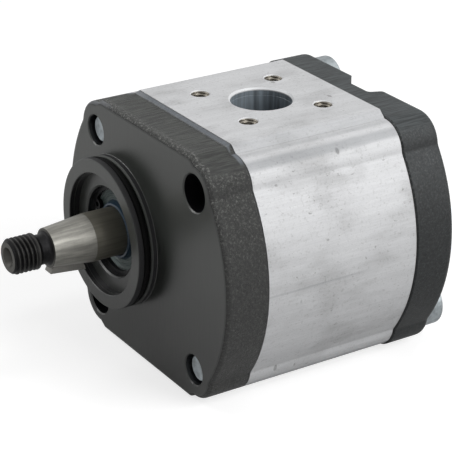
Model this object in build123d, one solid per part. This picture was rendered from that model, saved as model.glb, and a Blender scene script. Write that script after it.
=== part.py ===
from build123d import *
import math
import os

# External gear pump, in millimetres.
# The drive shaft lies on the Y axis and leaves the front towards -Y. +Z is up and +X is to the right
# seen from the shaft end. The origin is where the shaft axis meets the mounting face of the front flange.

# Layout of the casing along the shaft axis
flange_thickness = 15.0
body_length = 56.0
cover_thickness = 15.0
gear_centres = 32.5

# Outline shared by the flange, the body and the cover, seen from the front
bolt_square = 60.0
lobe_radius = 9.5
lobe_waist_radius = 3.0
side_half_width = 49.2
side_centre_offset = 5.0
pad_half_width = 27.2
pad_rise = 2.3
shoulder_run = 2.6
flange_pad_rise = 1.5
flange_edge_chamfer = 1.2
cover_overhang = 0.6
cover_edge_chamfer = 1.8
pad_blend_length = 2.0
pad_blend_sink = 0.5
joint_chamfer = 0.4

# Screws, through holes and dowels
screw_radius = 5.0
screw_hole_gap = 0.5
screw_end_depth = 2.0
screw_end_chamfer = 0.8
screw_head_radius = 8.1
screw_head_height = 7.0
screw_head_chamfer = 0.8
screw_socket_width = 8.0
screw_socket_depth = 4.0
mounting_hole_radius = 6.0
hole_edge_chamfer = 0.4
dowel_radius = 2.0
dowel_hole_depth = 5.0
dowel_gap = 0.05
dowel_end_gap = 0.2
dowel_land = 2.7

# Spigot on the front flange
spigot_radius = 25.0
spigot_height = 6.9
spigot_chamfer = 0.5
seal_ring_groove_from_face = 2.0
seal_ring_groove_width = 2.8
seal_ring_radius = 1.3
seal_ring_sink = 0.1
recess_rim_width = 4.7
recess_rim_depth = 1.6
recess_rim_step = 0.3
recess_depth = 3.5

# Shaft seal and its seat
seal_section = 7.0
seal_seat_depth = 11.0
seal_seat_chamfer = 0.5
seal_depth_in_seat = 3.4
seal_width = 7.0
seal_wall = 1.0
seal_lip_gap = 0.06
seal_rim_width = 1.5
lip_body_thickness = 2.5
ring_groove_depth = 0.6
ring_thickness = 1.2
ring_width = 2.0
ring_gap_angle = 46.0
ring_gap_turn = -90.0
ring_ear_radius = 1.9
ring_ear_hole_radius = 0.9
garter_radius = 0.7
garter_gap = 0.1
garter_from_lip_end = 0.5
lip_back_thickness = 2.2
ring_section_sides = 6
garter_section_sides = 4
shaft_passage_gap = 0.6

# Gear chamber and gears
teeth = 12
pressure_angle = 26.0
addendum_factor = 1.0
dedendum_factor = 1.2
backlash = 0.12
flank_point_count = 5
tip_gap = 0.05
block_length = 16.9
face_gap = 0.05
end_gap = 0.1
journal_radius = 9.0
journal_end_gap = 0.8
journal_chamfer = 0.6

# Bearings
bush_wall = 1.0
bush_running_gap = 0.03
bush_seat_gap = 0.01
bush_end_inset = 0.25
bush_slit = 0.3
relief_pocket_width = 5.0
relief_pocket_height = 4.0
relief_pocket_depth = 1.5
relief_pocket_from_centre = 4.6

# Seals between the pieces
block_seal_rim = 1.36
block_seal_width = 2.4
block_seal_open_height = 5.0
block_seal_thickness = 2.4
body_seal_land = 2.1
body_seal_width = 2.4
body_seal_depth = 1.9
seal_side_gap = 0.05
shaft_end_pocket_gap = 0.6
shaft_end_pocket_depth = 2.5

# Drive shaft outside the casing
shaft_end = 39.8
thread_radius = 6.0
thread_length = 9.5
thread_chamfer = 1.0
neck_depth = 1.1
taper_start = 26.4
taper_end = 12.0
taper_rise = 0.1
taper_shoulder = 0.06
shaft_radius = 8.0
shaft_step_inside = 13.5
centre_hole_radius = 2.6
centre_hole_depth = 3.4
centre_pilot_radius = 1.2
centre_pilot_depth = 2.0

# Key in the taper
key_disc_radius = 6.5
key_height = 5.0
key_width = 4.0
key_proud = 2.0
key_from_face = 19.5
key_gap = 0.01

# Ports
port_from_face = 44.0
inlet_radius = 10.0
inlet_bolt_square = 28.28
outlet_radius = 7.5
outlet_bolt_square = 24.75
port_chamfer = 0.8
port_bore_depth = 21.8
port_step = 1.5
port_end_height = 8.0
port_screw_radius = 3.0
port_screw_depth = 14.0

# Recess down the back of the rear cover, from left to right across the gear centre line
back_recess_depth = 6.4
back_recess_left = -8.0
back_recess_floor_left = -1.0
back_recess_floor_right = 9.3
back_recess_right = 12.0
back_recess_edge_radius = 8.0
back_recess_floor_radius = 1.8

# How far cutters run past the face they cut from
overrun = 1.0

# Values worked out from the sizes above
middle_x = gear_centres / 2
lobe_top = bolt_square / 2 + lobe_radius
side_radius = side_half_width + side_centre_offset
pad_height = lobe_top + pad_rise
flange_pad_height = lobe_top + flange_pad_rise
pitch_radius = gear_centres / 2
gear_module = gear_centres / teeth
base_radius = pitch_radius * math.cos(math.radians(pressure_angle))
tip_radius = pitch_radius + addendum_factor * gear_module
root_radius = pitch_radius - dedendum_factor * gear_module
chamber_radius = tip_radius + tip_gap
block_radius = tip_radius
block_seal_outer_radius = block_radius - block_seal_rim
block_seal_inner_radius = block_seal_outer_radius - block_seal_width
body_seal_inner_radius = chamber_radius + body_seal_land
body_seal_outer_radius = body_seal_inner_radius + body_seal_width
dowel_from_centre = middle_x + body_seal_outer_radius + dowel_land + dowel_radius
body_rear = flange_thickness + body_length
cover_rear = body_rear + cover_thickness
front_block_start = flange_thickness + end_gap
gear_front = front_block_start + block_length + face_gap
gear_rear = body_rear - end_gap - block_length - face_gap
rear_block_start = gear_rear + face_gap
bush_outer_radius = journal_radius + bush_running_gap + bush_wall
bush_seat_radius = bush_outer_radius + bush_seat_gap
shaft_end_pocket_radius = journal_radius + shaft_end_pocket_gap
shaft_passage_radius = journal_radius + shaft_passage_gap
screw_hole_radius = screw_radius + screw_hole_gap
recess_rim_radius = spigot_radius - recess_rim_width
recess_radius = recess_rim_radius - recess_rim_step
seal_seat_radius = shaft_radius + seal_section
seal_face_radius = seal_seat_radius - seal_rim_width
seal_floor_radius = shaft_radius + lip_body_thickness
seal_front = seal_depth_in_seat - spigot_height + recess_depth
seal_seat_floor = seal_seat_depth - spigot_height + recess_depth
neck_radius = thread_radius - neck_depth
taper_large_radius = shaft_radius - taper_shoulder
taper_small_radius = taper_large_radius - taper_rise * (taper_start - taper_end)
screw_corners = [(-1, 1), (1, -1)]
mounting_corners = [(1, 1), (-1, -1)]


def hole_centre(corner):
    """Place of one of the four holes of the bolt square, seen from the front."""
    return middle_x + corner[0] * bolt_square / 2, corner[1] * bolt_square / 2


def along_y(profile, y_from, y_to):
    """Solid of a front-view profile (x across, z up) between two planes across the shaft axis."""
    plane = Plane(origin=(0, y_to, 0), x_dir=(1, 0, 0), z_dir=(0, -1, 0))
    return extrude(plane * profile, amount=y_to - y_from)


def rod(x, z, radius, y_from, y_to):
    """Round bar along Y."""
    return along_y(Pos(x, z) * Circle(radius), y_from, y_to)


def turned(points, x=0.0):
    """Solid turned about a line along Y, from (radius, y) points of its half section."""
    section = make_face(Polyline(*points, close=True))
    return Pos(x, 0, 0) * revolve(section, axis=Axis.Y)


def countersink(x, z, radius, size, y_face, inward):
    """Cutter for the chamfer at the mouth of a hole along Y. inward is 1 where the hole runs to +Y."""
    outer = radius + size
    points = [
        (0, y_face),
        (outer, y_face),
        (radius, y_face + inward * size),
        (0, y_face + inward * size),
    ]
    return Pos(0, 0, z) * turned(points, x)


def lobed_outline(overhang=0.0):
    """Front view of the casing without its port pads: four bolt lobes and bulged sides."""
    core = Rectangle(bolt_square, 2 * (lobe_top + overhang))
    right_bulge = Pos(-side_centre_offset, 0) * Circle(side_radius + overhang)
    left_bulge = Pos(side_centre_offset, 0) * Circle(side_radius + overhang)
    bulge_band = Rectangle(4 * side_half_width, bolt_square + lobe_radius)
    outline = core + (right_bulge & left_bulge & bulge_band)
    for corner in screw_corners + mounting_corners:
        lobe = Circle(lobe_radius + overhang)
        outline += Pos(corner[0] * bolt_square / 2, corner[1] * bolt_square / 2) * lobe
    waist = [v for v in outline.vertices() if abs(v.X) > bolt_square / 2 + lobe_radius / 2]
    return fillet(waist, lobe_waist_radius - overhang)


def casing_outline(height):
    """Front view of the flange and the body, with port pads to a height above and below."""
    pad_edge = pad_half_width + shoulder_run
    pad_points = [
        (pad_half_width, height),
        (pad_edge, lobe_top),
        (pad_edge, -lobe_top),
        (pad_half_width, -height),
        (-pad_half_width, -height),
        (-pad_edge, -lobe_top),
        (-pad_edge, lobe_top),
        (-pad_half_width, height),
    ]
    pads = make_face(Polyline(*pad_points, close=True))
    return Pos(middle_x, 0) * (lobed_outline() + pads)


def figure_eight(radius):
    """Two equal circles on the gear centres."""
    return Circle(radius) + Pos(gear_centres, 0) * Circle(radius)


def racetrack(radius):
    """Outline at one distance from the line between the gear centres."""
    return figure_eight(radius) + Pos(middle_x, 0) * Rectangle(gear_centres, 2 * radius)


def dowel_hole(side, y_from, y_to):
    """Hole for one dowel pin beside the gear chamber."""
    return rod(middle_x + side * dowel_from_centre, 0, dowel_radius + dowel_gap, y_from, y_to)


def make_front_flange():
    """Front cover: spigot, seal seat, two threaded holes for the clamp screws, two plain holes."""
    flange = along_y(casing_outline(flange_pad_height), 0, flange_thickness)
    front_edges = flange.edges().filter_by(lambda e: abs(e.center().Y) < 0.001)
    flange = chamfer(front_edges, flange_edge_chamfer)

    # The cast faces rise to the height of the body's port pads in a short slope at the joint
    for up in (1, -1):
        slope = [
            (flange_thickness - pad_blend_length, up * (flange_pad_height - pad_blend_sink)),
            (flange_thickness - pad_blend_length, up * flange_pad_height),
            (flange_thickness, up * pad_height),
            (flange_thickness, up * (flange_pad_height - pad_blend_sink)),
        ]
        side_plane = Plane(origin=(middle_x - pad_half_width, 0, 0), x_dir=(0, 1, 0), z_dir=(1, 0, 0))
        flange += extrude(side_plane * make_face(Polyline(*slope, close=True)), amount=2 * pad_half_width)

    spigot_face = -spigot_height
    groove_rear = -seal_ring_groove_from_face
    groove_front = groove_rear - seal_ring_groove_width
    groove_floor = spigot_radius - seal_ring_sink - 2 * seal_ring_radius
    spigot = turned([
        (0, flange_thickness / 2),
        (spigot_radius, flange_thickness / 2),
        (spigot_radius, groove_rear + spigot_chamfer),
        (spigot_radius - spigot_chamfer, groove_rear),
        (groove_floor, groove_rear),
        (groove_floor, groove_front),
        (spigot_radius, groove_front),
        (spigot_radius, spigot_face + spigot_chamfer),
        (spigot_radius - spigot_chamfer, spigot_face),
        (0, spigot_face),
    ])
    flange += spigot

    recess_floor = spigot_face + recess_depth
    groove_side = seal_front - ring_thickness
    ring_seat_radius = seal_seat_radius + ring_groove_depth
    flange -= turned([
        (0, spigot_face - overrun),
        (recess_rim_radius, spigot_face - overrun),
        (recess_rim_radius, spigot_face + recess_rim_depth),
        (recess_radius, spigot_face + recess_rim_depth),
        (recess_radius, recess_floor),
        (seal_seat_radius + seal_seat_chamfer, recess_floor),
        (seal_seat_radius, recess_floor + seal_seat_chamfer),
        (seal_seat_radius, groove_side),
        (ring_seat_radius, groove_side),
        (ring_seat_radius, seal_front),
        (seal_seat_radius, seal_front),
        (seal_seat_radius, seal_seat_floor),
        (shaft_passage_radius, seal_seat_floor),
        (shaft_passage_radius, flange_thickness + overrun),
        (0, flange_thickness + overrun),
    ])

    # Relief behind the front end of the driven shaft
    pocket_floor = flange_thickness - shaft_end_pocket_depth
    flange -= rod(gear_centres, 0, shaft_end_pocket_radius, pocket_floor, flange_thickness + overrun)

    for corner in screw_corners:
        x, z = hole_centre(corner)
        flange -= rod(x, z, screw_radius, -overrun, flange_thickness + overrun)
        flange -= countersink(x, z, screw_radius, 2 * hole_edge_chamfer, 0, 1)
    for corner in mounting_corners:
        x, z = hole_centre(corner)
        flange -= rod(x, z, mounting_hole_radius, -overrun, flange_thickness + overrun)
        flange -= countersink(x, z, mounting_hole_radius, hole_edge_chamfer, 0, 1)
    for side in (-1, 1):
        flange -= dowel_hole(side, flange_thickness - dowel_hole_depth, flange_thickness + overrun)
    return flange


def port_cutter(radius, square, up):
    """Cutter for one port with its four threaded holes. up is 1 for the top face, -1 for the bottom."""
    face = Plane(
        origin=(middle_x, port_from_face, up * pad_height),
        x_dir=(1, 0, 0),
        z_dir=(0, 0, -up),
    )
    bore_section = [
        (0, 0),
        (radius + port_chamfer, 0),
        (radius, port_chamfer),
        (radius, port_bore_depth),
        (radius - port_step, port_bore_depth),
        (radius - port_step, pad_height - port_end_height),
        (0, pad_height - port_end_height),
    ]
    bore = revolve(Plane.XZ * make_face(Polyline(*bore_section, close=True)), axis=Axis.Z)
    screw_circles = Sketch() + GridLocations(square, square, 2, 2) * Circle(port_screw_radius)
    screw_holes = extrude(screw_circles, amount=port_screw_depth)
    return face * (bore + screw_holes)


def make_pump_body():
    """Extruded body: gear chamber, seal grooves in both ends, ports above and below."""
    body = along_y(casing_outline(pad_height), flange_thickness, body_rear)
    body -= along_y(figure_eight(chamber_radius), flange_thickness - overrun, body_rear + overrun)

    groove = racetrack(body_seal_outer_radius + seal_side_gap)
    groove -= racetrack(body_seal_inner_radius - seal_side_gap)
    body -= along_y(groove, flange_thickness - overrun, flange_thickness + body_seal_depth)
    body -= along_y(groove, body_rear - body_seal_depth, body_rear + overrun)

    for corner in screw_corners:
        x, z = hole_centre(corner)
        body -= rod(x, z, screw_hole_radius, flange_thickness - overrun, body_rear + overrun)
    for corner in mounting_corners:
        x, z = hole_centre(corner)
        body -= rod(x, z, mounting_hole_radius, flange_thickness - overrun, body_rear + overrun)
    for side in (-1, 1):
        body -= dowel_hole(side, flange_thickness - overrun, flange_thickness + dowel_hole_depth)
        body -= dowel_hole(side, body_rear - dowel_hole_depth, body_rear + overrun)

    body -= port_cutter(inlet_radius, inlet_bolt_square, 1)
    body -= port_cutter(outlet_radius, outlet_bolt_square, -1)
    return body


def make_rear_cover():
    """Rear cover: recess down its back, screw and mounting holes, pockets behind the shaft ends."""
    outline = Pos(middle_x, 0) * lobed_outline(cover_overhang)
    cover = along_y(outline, body_rear, cover_rear)
    back_edges = cover.edges().filter_by(lambda e: abs(e.center().Y - cover_rear) < 0.001)
    cover = chamfer(back_edges, cover_edge_chamfer)
    joint_edges = cover.edges().filter_by(lambda e: abs(e.center().Y - body_rear) < 0.001)
    cover = chamfer(joint_edges, joint_chamfer)

    floor = cover_rear - back_recess_depth
    recess_points = [
        (middle_x + back_recess_left - back_recess_edge_radius, cover_rear + overrun),
        (middle_x + back_recess_left - back_recess_edge_radius, cover_rear),
        (middle_x + back_recess_left, cover_rear),
        (middle_x + back_recess_floor_left, floor),
        (middle_x + back_recess_floor_right, floor),
        (middle_x + back_recess_right, cover_rear),
        (middle_x + back_recess_right, cover_rear + overrun),
    ]
    recess = make_face(Polyline(*recess_points, close=True))
    crest = recess.vertices().sort_by_distance((middle_x + back_recess_left, cover_rear))[0]
    recess = fillet(crest, back_recess_edge_radius)
    recess = fillet([v for v in recess.vertices() if abs(v.Y - floor) < 0.001], back_recess_floor_radius)
    reach = pad_height + lobe_radius
    cover -= Pos(0, 0, -reach) * extrude(recess, amount=2 * reach)

    for corner in screw_corners:
        x, z = hole_centre(corner)
        cover -= rod(x, z, screw_hole_radius, body_rear - overrun, cover_rear + overrun)
    for corner in mounting_corners:
        x, z = hole_centre(corner)
        cover -= rod(x, z, mounting_hole_radius, body_rear - overrun, cover_rear + overrun)
    for x in (0, gear_centres):
        cover -= rod(x, 0, shaft_end_pocket_radius, body_rear - overrun, body_rear + shaft_end_pocket_depth)
    for side in (-1, 1):
        cover -= dowel_hole(side, body_rear - overrun, body_rear + dowel_hole_depth)
    return cover


def make_clamp_screws():
    """Two cylinder-head screws that pull the covers onto the body."""
    head_top = cover_rear + screw_head_height
    section = [
        (0, screw_end_depth),
        (screw_radius - screw_end_chamfer, screw_end_depth),
        (screw_radius, screw_end_depth + screw_end_chamfer),
        (screw_radius, cover_rear),
        (screw_head_radius, cover_rear),
        (screw_head_radius, head_top - screw_head_chamfer),
        (screw_head_radius - screw_head_chamfer, head_top),
        (0, head_top),
    ]
    screw = turned(section)
    socket = RegularPolygon(screw_socket_width / 2, 6, major_radius=False)
    screw -= along_y(socket, head_top - screw_socket_depth, head_top + overrun)
    screws = []
    for corner in screw_corners:
        x, z = hole_centre(corner)
        screws.append(Pos(x, 0, z) * screw)
    return Compound(screws)


def make_dowel_pins():
    """Four pins that line the body up with the two covers."""
    half = dowel_hole_depth - dowel_end_gap
    pins = []
    for joint in (flange_thickness, body_rear):
        for side in (-1, 1):
            pins.append(rod(middle_x + side * dowel_from_centre, 0, dowel_radius, joint - half, joint + half))
    return Compound(pins)


def make_bearing_block(y_from, outer_face_at_front):
    """Figure-eight block that carries a journal of each shaft, with a seal groove on its outer face."""
    y_to = y_from + block_length
    block = along_y(figure_eight(block_radius), y_from, y_to)
    for x in (0, gear_centres):
        block -= rod(x, 0, bush_seat_radius, y_from - overrun, y_to + overrun)

    groove_depth = block_seal_thickness - end_gap
    pocket_offset = relief_pocket_from_centre + relief_pocket_height / 2
    pocket = Rectangle(relief_pocket_width, relief_pocket_height)
    if outer_face_at_front:
        block -= along_y(block_seal_profile(seal_side_gap), y_from - overrun, y_from + groove_depth)
        gear_side = (y_to - relief_pocket_depth, y_to + overrun)
    else:
        block -= along_y(block_seal_profile(seal_side_gap), y_to - groove_depth, y_to + overrun)
        gear_side = (y_from - overrun, y_from + relief_pocket_depth)
    for up in (-1, 1):
        block -= along_y(Pos(middle_x, up * pocket_offset) * pocket, *gear_side)
    return block


def block_seal_profile(gap=0.0):
    """The three-shaped seal on the back of a bearing block, open towards the inlet."""
    outer = figure_eight(block_seal_outer_radius + gap)
    inner = figure_eight(block_seal_inner_radius - gap)
    reach = gear_centres + 4 * block_seal_outer_radius
    keep = Pos(middle_x, block_seal_open_height + gap - reach / 2) * Rectangle(reach, reach)
    return (outer - inner) & keep


def make_block_seals():
    """Rubber seal of each bearing block, from the groove floor to the cover."""
    profile = block_seal_profile()
    front = along_y(profile, flange_thickness, flange_thickness + block_seal_thickness)
    rear = along_y(profile, body_rear - block_seal_thickness, body_rear)
    return front, rear


def make_body_seals():
    """Racetrack seals in the two ends of the body."""
    profile = racetrack(body_seal_outer_radius) - racetrack(body_seal_inner_radius)
    front = along_y(profile, flange_thickness, flange_thickness + body_seal_depth)
    rear = along_y(profile, body_rear - body_seal_depth, body_rear)
    return front, rear


def make_bush(x, y_from):
    """Slit bush pressed into one bore of a bearing block."""
    inner = journal_radius + bush_running_gap
    y_start = y_from + bush_end_inset
    y_end = y_from + block_length - bush_end_inset
    bush = rod(x, 0, bush_outer_radius, y_start, y_end) - rod(x, 0, inner, y_start - overrun, y_end + overrun)
    slit_height = 2 * bush_wall
    slit = Pos(x, inner + bush_wall / 2) * Rectangle(bush_slit, slit_height)
    return bush - along_y(slit, y_start - overrun, y_end + overrun)


def involute_point(radius, side, axis_angle):
    """Point of a tooth flank at a radius. side is 1 or -1, axis_angle is where the tooth points."""
    half_tooth = (math.pi * gear_module / 2 - backlash / 2) / (2 * pitch_radius)
    pitch_angle = math.radians(pressure_angle)
    local_angle = math.acos(min(1.0, base_radius / radius))
    involute = (math.tan(pitch_angle) - pitch_angle) - (math.tan(local_angle) - local_angle)
    angle = axis_angle + side * (half_tooth + involute)
    return radius * math.cos(angle), radius * math.sin(angle)


def gear_profile(first_tooth_angle):
    """Front view of a gear: involute flanks, straight tooth roots, tips on the tip circle."""
    flank_steps = flank_point_count - 1
    pitch_step = 2 * math.pi / teeth
    edges = []
    for tooth in range(teeth):
        axis_angle = first_tooth_angle + tooth * pitch_step
        radii = [base_radius + (tip_radius - base_radius) * i / flank_steps for i in range(flank_point_count)]
        rising = [involute_point(r, -1, axis_angle) for r in radii]
        falling = [involute_point(r, 1, axis_angle) for r in reversed(radii)]
        tip = (tip_radius * math.cos(axis_angle), tip_radius * math.sin(axis_angle))
        next_angle = axis_angle + pitch_step
        foot = involute_point(base_radius, 1, axis_angle)
        next_foot = involute_point(base_radius, -1, next_angle)
        scale = root_radius / base_radius
        root = (foot[0] * scale, foot[1] * scale)
        next_root = (next_foot[0] * scale, next_foot[1] * scale)
        edges.append(Polyline(*rising))
        edges.append(ThreePointArc(rising[-1], tip, falling[0]))
        edges.append(Polyline(*falling))
        edges.append(Polyline(foot, root, next_root, next_foot))
    return make_face(edges)


def gear_teeth(x, first_tooth_angle):
    """The toothed part of a gear shaft."""
    return along_y(Pos(x, 0) * gear_profile(first_tooth_angle), gear_front, gear_rear)


def journal_rear():
    """End of the half section of a gear shaft, as (radius, y) points."""
    rear_end = body_rear - journal_end_gap
    return [
        (journal_radius, rear_end - journal_chamfer),
        (journal_radius - journal_chamfer, rear_end),
        (0, rear_end),
    ]


def make_drive_gear_shaft():
    """Gear, journals, seal journal, taper, neck and threaded end in one piece."""
    tip = -shaft_end
    thread_start = tip + thread_length
    neck_blend = (taper_small_radius - neck_radius) / 2
    shaft = turned([
        (0, tip),
        (thread_radius - thread_chamfer, tip),
        (thread_radius, tip + thread_chamfer),
        (thread_radius, thread_start - thread_chamfer / 2),
        (neck_radius, thread_start + thread_chamfer / 2),
        (neck_radius, -taper_start - neck_blend),
        (neck_radius + neck_blend, -taper_start),
        (taper_small_radius, -taper_start),
        (taper_large_radius, -taper_end),
        (shaft_radius, -taper_end),
        (shaft_radius, shaft_step_inside),
        (journal_radius - journal_chamfer, shaft_step_inside),
        (journal_radius, shaft_step_inside + journal_chamfer),
        *journal_rear(),
    ])
    shaft += gear_teeth(0, 0)
    shaft -= turned([
        (0, tip - overrun),
        (centre_hole_radius, tip - overrun),
        (centre_hole_radius, tip),
        (centre_pilot_radius, tip + centre_hole_depth),
        (centre_pilot_radius, tip + centre_hole_depth + centre_pilot_depth),
        (0, tip + centre_hole_depth + centre_pilot_depth),
    ])
    return shaft - key_disc(key_gap, False)


def make_driven_gear_shaft():
    """Gear and two journals in one piece. Its teeth stand half a pitch from those of the drive gear."""
    front_end = flange_thickness + journal_end_gap
    shaft = turned([
        (0, front_end),
        (journal_radius - journal_chamfer, front_end),
        (journal_radius, front_end + journal_chamfer),
        *journal_rear(),
    ], gear_centres)
    return shaft + gear_teeth(gear_centres, math.pi / teeth)


def key_disc(gap, cut_flat):
    """The key's half-moon under the taper. Without its flat and with a gap it is the cutter for its seat."""
    surface = taper_small_radius + taper_rise * (taper_start - key_from_face)
    flat_from_axis = surface + key_proud
    disc_from_axis = flat_from_axis - key_height + key_disc_radius
    side_view = Plane(origin=(-key_width / 2 - gap, 0, 0), x_dir=(0, 1, 0), z_dir=(1, 0, 0))
    profile = Pos(-key_from_face, -disc_from_axis) * Circle(key_disc_radius + gap)
    if cut_flat:
        size = 4 * key_disc_radius
        profile -= Pos(-key_from_face, -flat_from_axis - size / 2) * Rectangle(size, size)
    disc = extrude(side_view * profile, amount=key_width + 2 * gap)
    pivot = Axis((0, -key_from_face, -surface), (1, 0, 0))
    return disc.rotate(pivot, -math.degrees(math.atan(taper_rise)))


def make_seal_case():
    """Metal case of the shaft seal, pressed into its seat in the flange."""
    outer = seal_seat_radius - bush_seat_gap
    inner = outer - seal_wall
    floor_y = seal_front + seal_wall
    return turned([
        (outer, seal_front),
        (outer, seal_front + seal_width),
        (inner, seal_front + seal_width),
        (inner, floor_y + seal_wall),
        (seal_floor_radius, floor_y + seal_wall),
        (seal_floor_radius, floor_y),
        (seal_face_radius, floor_y),
        (seal_face_radius, seal_front),
    ])


def make_seal_lip():
    """Rubber of the shaft seal: face, dust lip and main lip, just clear of the shaft."""
    bore = shaft_radius + seal_lip_gap
    lip_rear = seal_front + seal_width - seal_wall
    return turned([
        (seal_face_radius, seal_front),
        (seal_face_radius, seal_front + seal_wall),
        (seal_floor_radius, seal_front + seal_wall),
        (seal_floor_radius, seal_front + 2 * seal_wall),
        (bore + lip_back_thickness, lip_rear),
        (bore, lip_rear - seal_wall),
        (bore + seal_wall, seal_front + 2 * seal_wall),
        (bore, seal_front),
    ])


def make_garter_spring():
    """Closed spring round the main lip, as a plain ring."""
    bore = shaft_radius + seal_lip_gap
    ring_radius = bore + lip_back_thickness + garter_gap + garter_radius
    ring_y = seal_front + seal_width - seal_wall - garter_from_lip_end
    section = Pos(ring_radius, ring_y) * RegularPolygon(garter_radius, garter_section_sides)
    return revolve(section, axis=Axis.Y)


def make_retaining_ring():
    """Internal spring ring with two ears, in its groove in front of the shaft seal."""
    outer = seal_seat_radius + ring_groove_depth - bush_seat_gap
    inner = seal_seat_radius + ring_groove_depth - ring_width
    ear_track = inner - ring_ear_radius / 2
    half_gap = math.radians(ring_gap_angle / 2)
    ring = Circle(outer) - Circle(inner)
    reach = 2 * outer
    wedge_points = [
        (0, 0),
        (-reach * math.sin(half_gap), -reach * math.cos(half_gap)),
        (reach * math.sin(half_gap), -reach * math.cos(half_gap)),
    ]
    ring -= make_face(Polyline(*wedge_points, close=True))
    for side in (-1, 1):
        x = side * ear_track * math.sin(half_gap)
        z = -ear_track * math.cos(half_gap)
        ring += Pos(x, z) * Circle(ring_ear_radius)
    for side in (-1, 1):
        x = side * ear_track * math.sin(half_gap)
        z = -ear_track * math.cos(half_gap)
        ring -= Pos(x, z) * Circle(ring_ear_hole_radius)
    return along_y(Rot(0, 0, ring_gap_turn) * ring, seal_front - ring_thickness, seal_front)


def make_spigot_ring():
    """Seal ring in the spigot groove, its round section given as a hexagon."""
    centre_radius = spigot_radius - seal_ring_sink - seal_ring_radius
    centre_y = -seal_ring_groove_from_face - seal_ring_groove_width / 2
    section = Pos(centre_radius, centre_y) * RegularPolygon(seal_ring_radius, ring_section_sides)
    return revolve(section, axis=Axis.Y)


os.makedirs("parts", exist_ok=True)

front_block_seal, rear_block_seal = make_block_seals()
front_body_seal, rear_body_seal = make_body_seals()

pieces = {
    "front_flange": make_front_flange(),
    "pump_body": make_pump_body(),
    "rear_cover": make_rear_cover(),
    "clamp_screws": make_clamp_screws(),
    "dowel_pins": make_dowel_pins(),
    "front_bearing_block": make_bearing_block(front_block_start, True),
    "rear_bearing_block": make_bearing_block(rear_block_start, False),
    "front_pressure_seal": front_block_seal,
    "rear_pressure_seal": rear_block_seal,
    "front_body_seal": front_body_seal,
    "rear_body_seal": rear_body_seal,
    "drive_front_bush": make_bush(0, front_block_start),
    "drive_rear_bush": make_bush(0, rear_block_start),
    "driven_front_bush": make_bush(gear_centres, front_block_start),
    "driven_rear_bush": make_bush(gear_centres, rear_block_start),
    "shaft_seal_case": make_seal_case(),
    "shaft_seal_lip": make_seal_lip(),
    "seal_garter_spring": make_garter_spring(),
    "seal_retaining_ring": make_retaining_ring(),
    "spigot_o_ring": make_spigot_ring(),
    "drive_gear_shaft": make_drive_gear_shaft(),
    "woodruff_key": key_disc(0.0, True),
    "driven_gear_shaft": make_driven_gear_shaft(),
}

for name, shape in pieces.items():
    export_step(shape, "parts/" + name + ".step")
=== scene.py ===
"""External gear pump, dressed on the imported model.

Sizes are in millimetres. A mesh is scaled to metres when its piece is finished.
X runs across the gears, Y along the drive shaft with its free end at -Y, and Z is up.
"""

from __future__ import annotations

import logging
import math
from dataclasses import dataclass, field
from enum import Enum
from typing import Callable, Sequence

import bmesh
import bpy
from mathutils import Matrix, Vector


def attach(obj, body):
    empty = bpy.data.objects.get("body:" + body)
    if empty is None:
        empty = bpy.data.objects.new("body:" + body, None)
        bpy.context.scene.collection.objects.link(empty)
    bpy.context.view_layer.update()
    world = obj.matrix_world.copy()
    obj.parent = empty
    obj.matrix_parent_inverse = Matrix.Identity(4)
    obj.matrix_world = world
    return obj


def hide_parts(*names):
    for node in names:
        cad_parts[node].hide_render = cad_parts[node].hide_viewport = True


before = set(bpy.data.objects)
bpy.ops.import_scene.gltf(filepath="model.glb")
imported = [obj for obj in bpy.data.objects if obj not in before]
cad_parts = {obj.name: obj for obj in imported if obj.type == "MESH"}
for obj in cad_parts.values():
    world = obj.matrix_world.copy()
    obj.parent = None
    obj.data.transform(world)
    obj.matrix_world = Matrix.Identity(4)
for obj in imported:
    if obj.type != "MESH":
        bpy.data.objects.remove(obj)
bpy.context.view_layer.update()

Pair = tuple[float, float]
Point = tuple[float, float, float]
Colour = tuple[float, float, float]
Ring = list[Point]

MM = 0.001
TURN = 2 * math.pi
log = logging.getLogger("gear_pump")

GEAR_CENTRES = 32.5
MIDDLE = GEAR_CENTRES / 2
BODY_FRONT = 15.0
BODY_REAR = 71.0
COVER_REAR = 86.0
PAD_HEIGHT = 41.8
PORT_MIDDLE = (MIDDLE, 44.0)
SCREW_CORNERS = ((-1, 1), (1, -1))
BOLT_CORNERS = ((1, 1), (-1, -1))
DOWEL_OFFSET = 44.46

# Radii of the holes through the stack.
TAPPED_HOLE = 5.0
SCREW_HOLE = 5.5
BOLT_HOLE = 6.0
SHAFT_HOLE = 9.6
DOWEL_HOLE = 2.05


class Axis(Enum):
    """Direction that a turned form is turned about."""

    SHAFT = "along the drive shaft"
    PORT = "along the ports"


class Cut(Enum):
    """How a tool changes the piece that it meets."""

    REMOVE = "DIFFERENCE"
    ADD = "UNION"


@dataclass
class Shell:
    """A closed surface in millimetres."""

    points: list[Point] = field(default_factory=list)
    faces: list[tuple[int, ...]] = field(default_factory=list)

    def __add__(self, other: Shell) -> Shell:
        """Both surfaces as one, each still closed.

        Args:
            other: The surface to add.

        Returns:
            A new surface.
        """
        start = len(self.points)
        faces = [tuple(index + start for index in face) for face in other.faces]
        return Shell(self.points + other.points, self.faces + faces)

    def mesh(self, name: str) -> bpy.types.Mesh:
        """The surface as a mesh, its faces turned outwards.

        Args:
            name: Name of the mesh.

        Returns:
            The new mesh, still in millimetres.
        """
        mesh = bpy.data.meshes.new(name)
        mesh.from_pydata(self.points, [], self.faces)
        work = bmesh.new()
        work.from_mesh(mesh)
        bmesh.ops.recalc_face_normals(work, faces=work.faces)
        work.to_mesh(mesh)
        work.free()
        return mesh


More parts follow.
